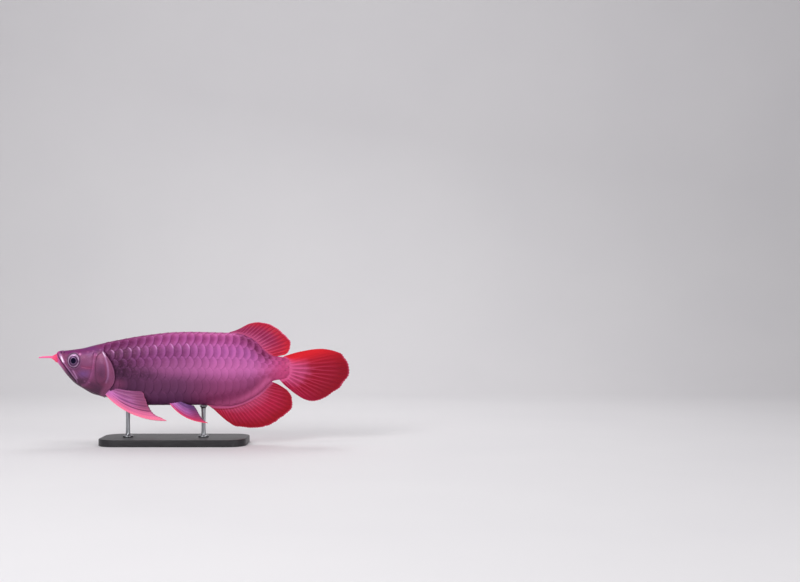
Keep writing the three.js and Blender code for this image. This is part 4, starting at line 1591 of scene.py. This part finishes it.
CAUDAL = Fin(
    "caudal_fin", 14,
    root=((378, 15), (387, 13), (391, 7), (392.5, 0), (391, -7), (386, -12), (376, -13.5)),
    edge=((390, 22.4), (409, 28.1), (425, 31.5), (440, 33.8), (456, 34.4), (470, 32.2), (480, 29.2),
          (489, 25.2), (497.5, 14.6), (500.3, 3), (500, -10), (494.5, -20), (486.5, -32.6), (474, -40.2),
          (461, -48.3), (449, -53.8), (438, -55.8), (424, -52.6), (410, -44.5), (400, -36.8), (388, -26.4)),
    finish=FinFinish(
        "caudal_fin_skin", root=(212, 86, 140), middle=(160, 12, 42), edge=(138, 2, 26), rim=(200, 72, 108),
        first=(220, 24, 38), last=(192, 18, 84), lead=(236, 56, 82), web=(126, 6, 40), crest=(226, 92, 142),
        sheath=(208, 86, 138), first_reach=(0.48, 0.2), first_share=0.95, last_share=0.6, web_share=0.5,
        crest_share=0.22, rim_start=0.968, joints=190.0),
    branching=Branching.TWICE, split=(0.25, 0.6), sheath=9.5, plain=0.9, root_thickness=3.2, per_ray=22,
    rows=84, lead_width=0.012)
PECTORAL = Fin(
    "pectoral_fin", 7,
    root=((82.5, -10.5, -39.5), (88.5, -13, -35), (94.5, -15.5, -30)),
    edge=((193, -30, -85.7), (185.4, -28.5, -80.8), (176.3, -27, -78), (167.5, -25, -71.7), (160, -23, -61.5),
          (156, -21.5, -50), (153, -20, -40.5), (146, -19, -36.8)),
    finish=FinFinish(
        "pectoral_fin_skin", root=(204, 116, 186), middle=(176, 96, 156), edge=(150, 74, 112),
        rim=(158, 78, 116), first=(244, 118, 166), last=(142, 76, 120), lead=(250, 124, 158),
        web=(92, 28, 78), crest=(226, 136, 190), first_reach=(0.6, 0.25), first_share=0.85,
        last_reach=(0.55, 0.9), last_share=0.75, web_share=0.24, crest_share=0.2),
    bow_first=(-5.1, -4, -12.2), bow_last=(2.9, -4, -1.2),
    lean=(0.58, 0.32, 11), plain=0.6, bold=((0.25, 0.25), (0.43, 1.0), (0.57, 0.6)), root_thickness=2.8,
    web=0.3, per_ray=24, rows=80, lead_width=0.15, lead_thickness=0.9, waves=1.5, ruffle=0.5)
PELVIC = Fin(
    "pelvic_fin", 5,
    root=((191, -4, -55.5), (199.5, -5.3, -54.5), (208, -6.5, -52)),
    edge=((262, -23, -90.2), (253, -20.5, -84.2), (247, -18, -77.5), (240.5, -14.5, -68), (235, -12, -61.5)),
    finish=FinFinish(
        "pelvic_fin_skin", root=(204, 124, 200), middle=(180, 94, 170), edge=(140, 44, 100),
        rim=(112, 56, 104), first=(214, 48, 94), last=(80, 52, 110), lead=(236, 70, 108), web=(92, 40, 100),
        crest=(204, 128, 196), first_reach=(0.55, 0.1), first_share=0.9, last_reach=(0.5, 0.9),
        last_share=0.85, web_share=0.26, crest_share=0.2, joints=110.0),
    bow_first=(-4.2, -1.5, -8.5), bow_last=(-0.2, -1.5, -1.5),
    lean=(0.36, 0.25, 5), root_thickness=2.4, tip_thickness=0.7, web=0.3, per_ray=26, lead_width=0.09,
    lead_thickness=0.7, waves=1.0, ruffle=0.4)


# Eyes and barbels


@dataclass(frozen=True)
class Eye:
    """A bulging round eye: a ball flattened from front to back, with a shallow dent at its pupil."""

    station: float = 32.6
    height: float = 15.1
    radius: float = 12.0
    tallness: float = 13.6
    depth: float = 7.0
    bulge: float = 3.2
    shown: float = 10.1
    dent: float = 0.35
    dent_width: float = 0.42
    hidden: float = 1.2
    rings: int = 72
    sides: int = 96

    def build(self, side: int, name: str) -> bpy.types.Object:
        """Builds an eye.

        The ball's rings are spaced by equal angles from the front pole. Each point carries how far out it
        lies, with 1 at the edge of what shows, and how much light its side of the iris has.

        Args:
            side: -1 for the left eye, 1 for the right.
            name: the piece's name.

        Returns:
            The dressed piece.
        """
        angle, turn = np.meshgrid(np.linspace(0, math.pi, self.rings + 2)[1:-1],
                                  np.linspace(0, 2 * math.pi, self.sides, endpoint=False), indexing="ij")
        across, back, up = np.sin(angle), np.cos(turn), np.sin(turn)
        out = across * self.radius / self.shown
        front = np.cos(angle) > 0
        middle = FORM.place(self.station, 0, self.height)
        reach = FORM.half_width(self.station, self.height) - self.depth + self.bulge
        dent = self.dent * hump(out / self.dent_width, 1.0) * front
        points = np.stack([middle[0] + self.radius * across * back,
                           side * (reach + self.depth * np.cos(angle) - dent),
                           middle[2] + self.tallness * across * up], axis=-1).reshape(-1, 3)
        poles = [[middle[0], side * (reach + self.depth - self.dent), middle[2]],
                 [middle[0], side * (reach - self.depth), middle[2]]]
        out_there = np.where(front, out, self.hidden)
        upper = ease(-0.5, 0.7, up - 0.2 * back) + 0.5 * ease(0.75, 1.0, np.cos(turn + 0.9))
        local = np.stack([2 * back, out, 2 * up], axis=-1).reshape(-1, 3)
        marks = {"out": np.r_[out_there.ravel(), 0.0, self.hidden], "upper": np.r_[upper.ravel(), 0.5, 0.5],
                 "local": np.vstack([local, np.zeros((2, 3))])}
        piece = make_piece(name, np.vstack([points, poles]), *ring_faces(self.rings, self.sides), marks)
        return settle(piece, EyeFinish().make(), "eyes", name)


@dataclass(frozen=True)
class Barbel:
    """A tapering feeler that leaves the chin's tip in a cone and points forward and slightly up."""

    knots: Table = ((3, -4.5, 18.5), (-6, -6, 20.2), (-17, -8.3, 20.6), (-29, -10, 20))
    radius: float = 1.8
    tip_radius: float = 1.15
    least: float = 0.02
    round_start: float = 0.95
    round_length: float = 0.0505
    wobble: float = 0.03
    wobbles: float = 60.0
    cone_width: float = 4.2
    cone_height: float = 9.4
    cone_share: float = 0.4
    cone_fall: float = 1.6
    root_height: float = 7.6
    steps: int = 70
    sides: int = 28

    def build(self, side: int, name: str) -> bpy.types.Object:
        """Builds a barbel.

        The radius falls evenly and rounds off at the tip. At the chin it grows into a fleshy cone, taller
        than wide, by a power of the share of the cone still ahead.

        Args:
            side: 1 for the left barbel, -1 for the right.
            name: the piece's name.

        Returns:
            The dressed piece.
        """
        way = np.linspace(0, 1, self.steps)
        centres = Path(tuple(tuple(FORM.place(*p)) for p in self.knots))(way)
        beyond = np.maximum((way - self.round_start) / self.round_length, 0)
        rounding = np.sqrt(np.maximum(1 - beyond**2, 0))
        wobble = 1 + self.wobble * np.sin(way * self.wobbles)
        cone = np.maximum(1 - way / self.cone_share, 0) ** self.cone_fall
        radii = (self.radius + (self.tip_radius - self.radius) * way) * rounding * wobble + self.least
        wide = radii + self.cone_width * cone
        high = np.minimum(radii + self.cone_height * cone, self.root_height)
        level = np.ones_like(way)
        points, quads, triangles = tube(centres, level, self.sides)
        rings = points[:-2].reshape(self.steps, self.sides, 3) - centres[:, None]
        rings = rings * np.stack([level, wide, high], axis=-1)[:, None]
        points[:-2] = (centres[:, None] + rings).reshape(-1, 3)
        points[:, 1] *= side
        along = np.r_[np.repeat(way, self.sides), 0.0, 1.0]
        piece = make_piece(name, points, quads, triangles, {"along": along})
        return settle(piece, BarbelFinish().make(), "barbels", name)


# Stand


@dataclass(frozen=True)
class Stand:
    """A low lacquered base with rounded corners, and two steel rods with a flange below and a rest on top.

    flange and saucer give radii and heights over the base and from the keel. insets close the base's flat
    faces.
    """

    length: float = 250.0
    width: float = 110.0
    thickness: float = 12.0
    corner: float = 30.0
    rim: float = 1.6
    insets: Span = (8.0, 3.0)
    flange: Table = ((8.6, 0.0), (9.0, 0.4), (9.0, 2.2), (8.5, 2.8), (5.2, 3.2), (4.5, 3.8), (4.0, 4.8))
    saucer: Table = (
        (4.0, -6.0), (4.3, -5.0), (5.4, -3.4), (6.4, -2.2), (6.6, -1.5), (6.4, -0.9), (4.5, -0.6))
    into_belly: float = 1.5
    stations: tuple[tuple[str, float], ...] = (("stand_rod_front", 121.6), ("stand_rod_rear", 250.9))
    rim_points: int = 9
    corner_points: int = 24
    sides: int = 48

    def base(self) -> bpy.types.Object:
        """Builds the base.

        Rounded rectangles are stacked from the underside to the top. Each is inset by the rim's own
        profile, a quarter circle below and above, and the middle closes each end.

        Returns:
            The dressed piece.
        """
        bend = np.linspace(0, math.pi / 2, self.rim_points)
        low = np.stack([self.rim * (1 - np.sin(bend)), self.rim * (1 - np.cos(bend))], axis=-1)
        high = np.stack([low[::-1, 0], self.thickness - low[::-1, 1]], axis=-1)
        inner = [[inset, 0.0] for inset in self.insets]
        outer = [[inset, self.thickness] for inset in self.insets[::-1]]
        quarter = np.arange(4)[:, None] * math.pi / 2
        angle = (np.linspace(0, math.pi / 2, self.corner_points) + quarter).ravel()
        way = np.stack([np.cos(angle), np.sin(angle)], axis=-1)
        reach = np.array([self.length / 2 - self.corner, self.width / 2 - self.corner])
        centre = np.repeat(((1, 1), (-1, 1), (-1, -1), (1, -1)) * reach, self.corner_points, axis=0)
        rings = [np.column_stack([centre + (self.corner - inset) * way, np.full(len(way), z)])
                 for inset, z in np.vstack([inner, low, high, outer])]
        points = np.vstack([*rings, [[0, 0, 0], [0, 0, self.thickness]]])
        piece = make_piece("display_base", points, *ring_faces(len(rings), len(way)))
        return settle(piece, StandFinish().make(), "stand_base", "stand_base")

    def rod(self, node: str, station: float, finish: bpy.types.Material) -> bpy.types.Object:
        """Builds a rod.

        One profile of radius and height is turned round a vertical axis: a flange with a rounded rim on the
        base, the rod, and a small saucer that follows up to the belly.

        Args:
            node: the node it stands for.
            station: where it meets the keel.
            finish: its material.

        Returns:
            The dressed piece.
        """
        foot, top = self.thickness, FORM.midline_z + float(FORM.keel(station))
        rows = [(r, 0.0, foot + z) for r, z in self.flange] + [(r, 0.0, top + z) for r, z in self.saucer]
        profile = Path(tuple(rows), 5).trace()
        turn = np.linspace(0, 2 * math.pi, self.sides, endpoint=False)
        middle = FORM.snout_x + station
        x, y = middle + profile[:, :1] * np.cos(turn), profile[:, :1] * np.sin(turn)
        rings = np.stack([x, y, np.broadcast_to(profile[:, 2:], x.shape)], axis=-1).reshape(-1, 3)
        points = np.vstack([rings, [[middle, 0, foot], [middle, 0, top + self.into_belly]]])
        piece = make_piece(node.replace("stand_rod", "display_rod"), points,
                           *ring_faces(len(profile), self.sides))
        return settle(piece, finish, "stand_rods", node)

    def build(self) -> None:
        """Builds the base and both rods."""
        self.base()
        steel = SteelFinish().make()
        for node, station in self.stations:
            self.rod(node, station, steel)


# Studio


@dataclass(frozen=True)
class Studio:
    """A pale floor that curves up into a wall, soft lamps and the camera.

    lamps lists each lamp's name, place, diameter and power. air is the even light's colour, as linear shares.
    """

    camera_place: Place = (385.3, -2400.0, 261.6)
    lens: float = 63.07
    floor_half: float = 20000.0
    floor_front: float = -20000.0
    wall_start: float = 1100.0
    bend: float = 900.0
    bend_points: int = 24
    wall_height: float = 5200.0
    pale: Colour = (226, 224, 226)
    cloudy: Colour = (220, 218, 221)
    target: Place = (30.0, 0.0, 130.0)
    lamps: tuple[tuple[str, Place, float, float], ...] = (
        ("key", (-900.0, -2300.0, 1500.0), 1500.0, 44.0), ("fill", (1900.0, -1900.0, 600.0), 1400.0, 14.0),
        ("top", (100.0, -100.0, 2300.0), 1800.0, 18.0), ("back", (300.0, 1000.0, 1500.0), 900.0, 8.0))
    air: Colour = (0.94, 0.93, 0.96)
    air_strength: float = 0.26

    def floor(self) -> None:
        """Builds the floor and wall: a profile runs back level, bends through a quarter circle and rises."""
        bend = np.linspace(0, math.pi / 2, self.bend_points)
        foot = self.wall_start + self.bend
        run = np.concatenate([[self.floor_front], self.wall_start + self.bend * np.sin(bend), [foot]])
        rise = np.concatenate([[0.0], self.bend * (1 - np.cos(bend)), [self.wall_height]])
        x = np.array([-self.floor_half, self.floor_half])
        points = np.stack(np.broadcast_arrays(x[None], run[:, None], rise[:, None]), axis=-1).reshape(-1, 3)
        i = np.arange(len(run) - 1) * 2
        mesh = bpy.data.meshes.new("studio_floor")
        mesh.from_pydata((points * MM).tolist(), [], np.stack([i, i + 1, i + 3, i + 2], axis=-1).tolist())
        mesh.polygons.foreach_set("use_smooth", np.ones(len(i), bool))
        floor = bpy.data.objects.new("studio_floor", mesh)
        bpy.context.scene.collection.objects.link(floor)
        paper = Finish("studio_paper")
        tone = paper.noise(paper.coordinates(), 3.0, 2.0)
        dress(floor, paper.finish(Base_Color=paper.mix(self.pale, self.cloudy, tone), Roughness=0.7))

    def lights(self) -> None:
        """Adds the soft lamps, each turned to the fish, and a faint even light from all round."""
        target = Vector(self.target) * MM
        for name, place, size, power in self.lamps:
            lamp = bpy.data.lights.new(name, "AREA")
            lamp.shape, lamp.size, lamp.energy = "DISK", size * MM, power
            holder = bpy.data.objects.new(name, lamp)
            holder.location = Vector(place) * MM
            holder.rotation_euler = (target - holder.location).to_track_quat("-Z", "Y").to_euler()
            bpy.context.scene.collection.objects.link(holder)
        world = bpy.data.worlds.new("studio_air")
        world.use_nodes = True
        air = world.node_tree.nodes["Background"]
        air.inputs[0].default_value, air.inputs[1].default_value = (*self.air, 1.0), self.air_strength
        bpy.context.scene.world = world

    def camera(self) -> None:
        """Adds the camera, level and square to the fish's flank."""
        data = bpy.data.cameras.new("camera")
        data.lens, data.sensor_width = self.lens, 36.0
        camera = bpy.data.objects.new("camera", data)
        camera.location = Vector(self.camera_place) * MM
        camera.rotation_euler = (math.pi / 2, 0.0, 0.0)
        bpy.context.scene.collection.objects.link(camera)
        bpy.context.scene.camera = camera
        bpy.context.scene.view_settings.view_transform = "Standard"

    def build(self) -> None:
        """Builds the whole studio."""
        self.camera()
        self.floor()
        self.lights()


def corners(box: tuple[Vector, Vector]) -> list[list[float]]:
    """A box's two corners as plain lists."""
    return [[float(value) for value in corner] for corner in box]


def main() -> None:
    """Builds the studio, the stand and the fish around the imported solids."""
    logging.basicConfig(level=logging.INFO, format="%(name)s: %(message)s")
    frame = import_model()
    LOG.info("packed model: %d nodes", len(frame["nodes"]))
    Studio().build()
    Stand().build()
    BodySkin().build()
    coat = ScaleCoat()
    coat.build("scales_left", [1, 2, 3, 4, 5, 6])
    coat.build("scales_right", [8, 9, 10, 11, 12, 13])
    coat.build("scales_back_and_keel", [0, 7])
    for fin in (DORSAL, ANAL, CAUDAL):
        fin.build()
    for fin in (PECTORAL, PELVIC):
        fin.build(1, fin.name + "_left")
        fin.build(-1, fin.name + "_right")
    Eye().build(-1, "eye_left")
    Eye().build(1, "eye_right")
    Barbel().build(1, "barbel_left")
    Barbel().build(-1, "barbel_right")


if __name__ == "__main__":
    main()
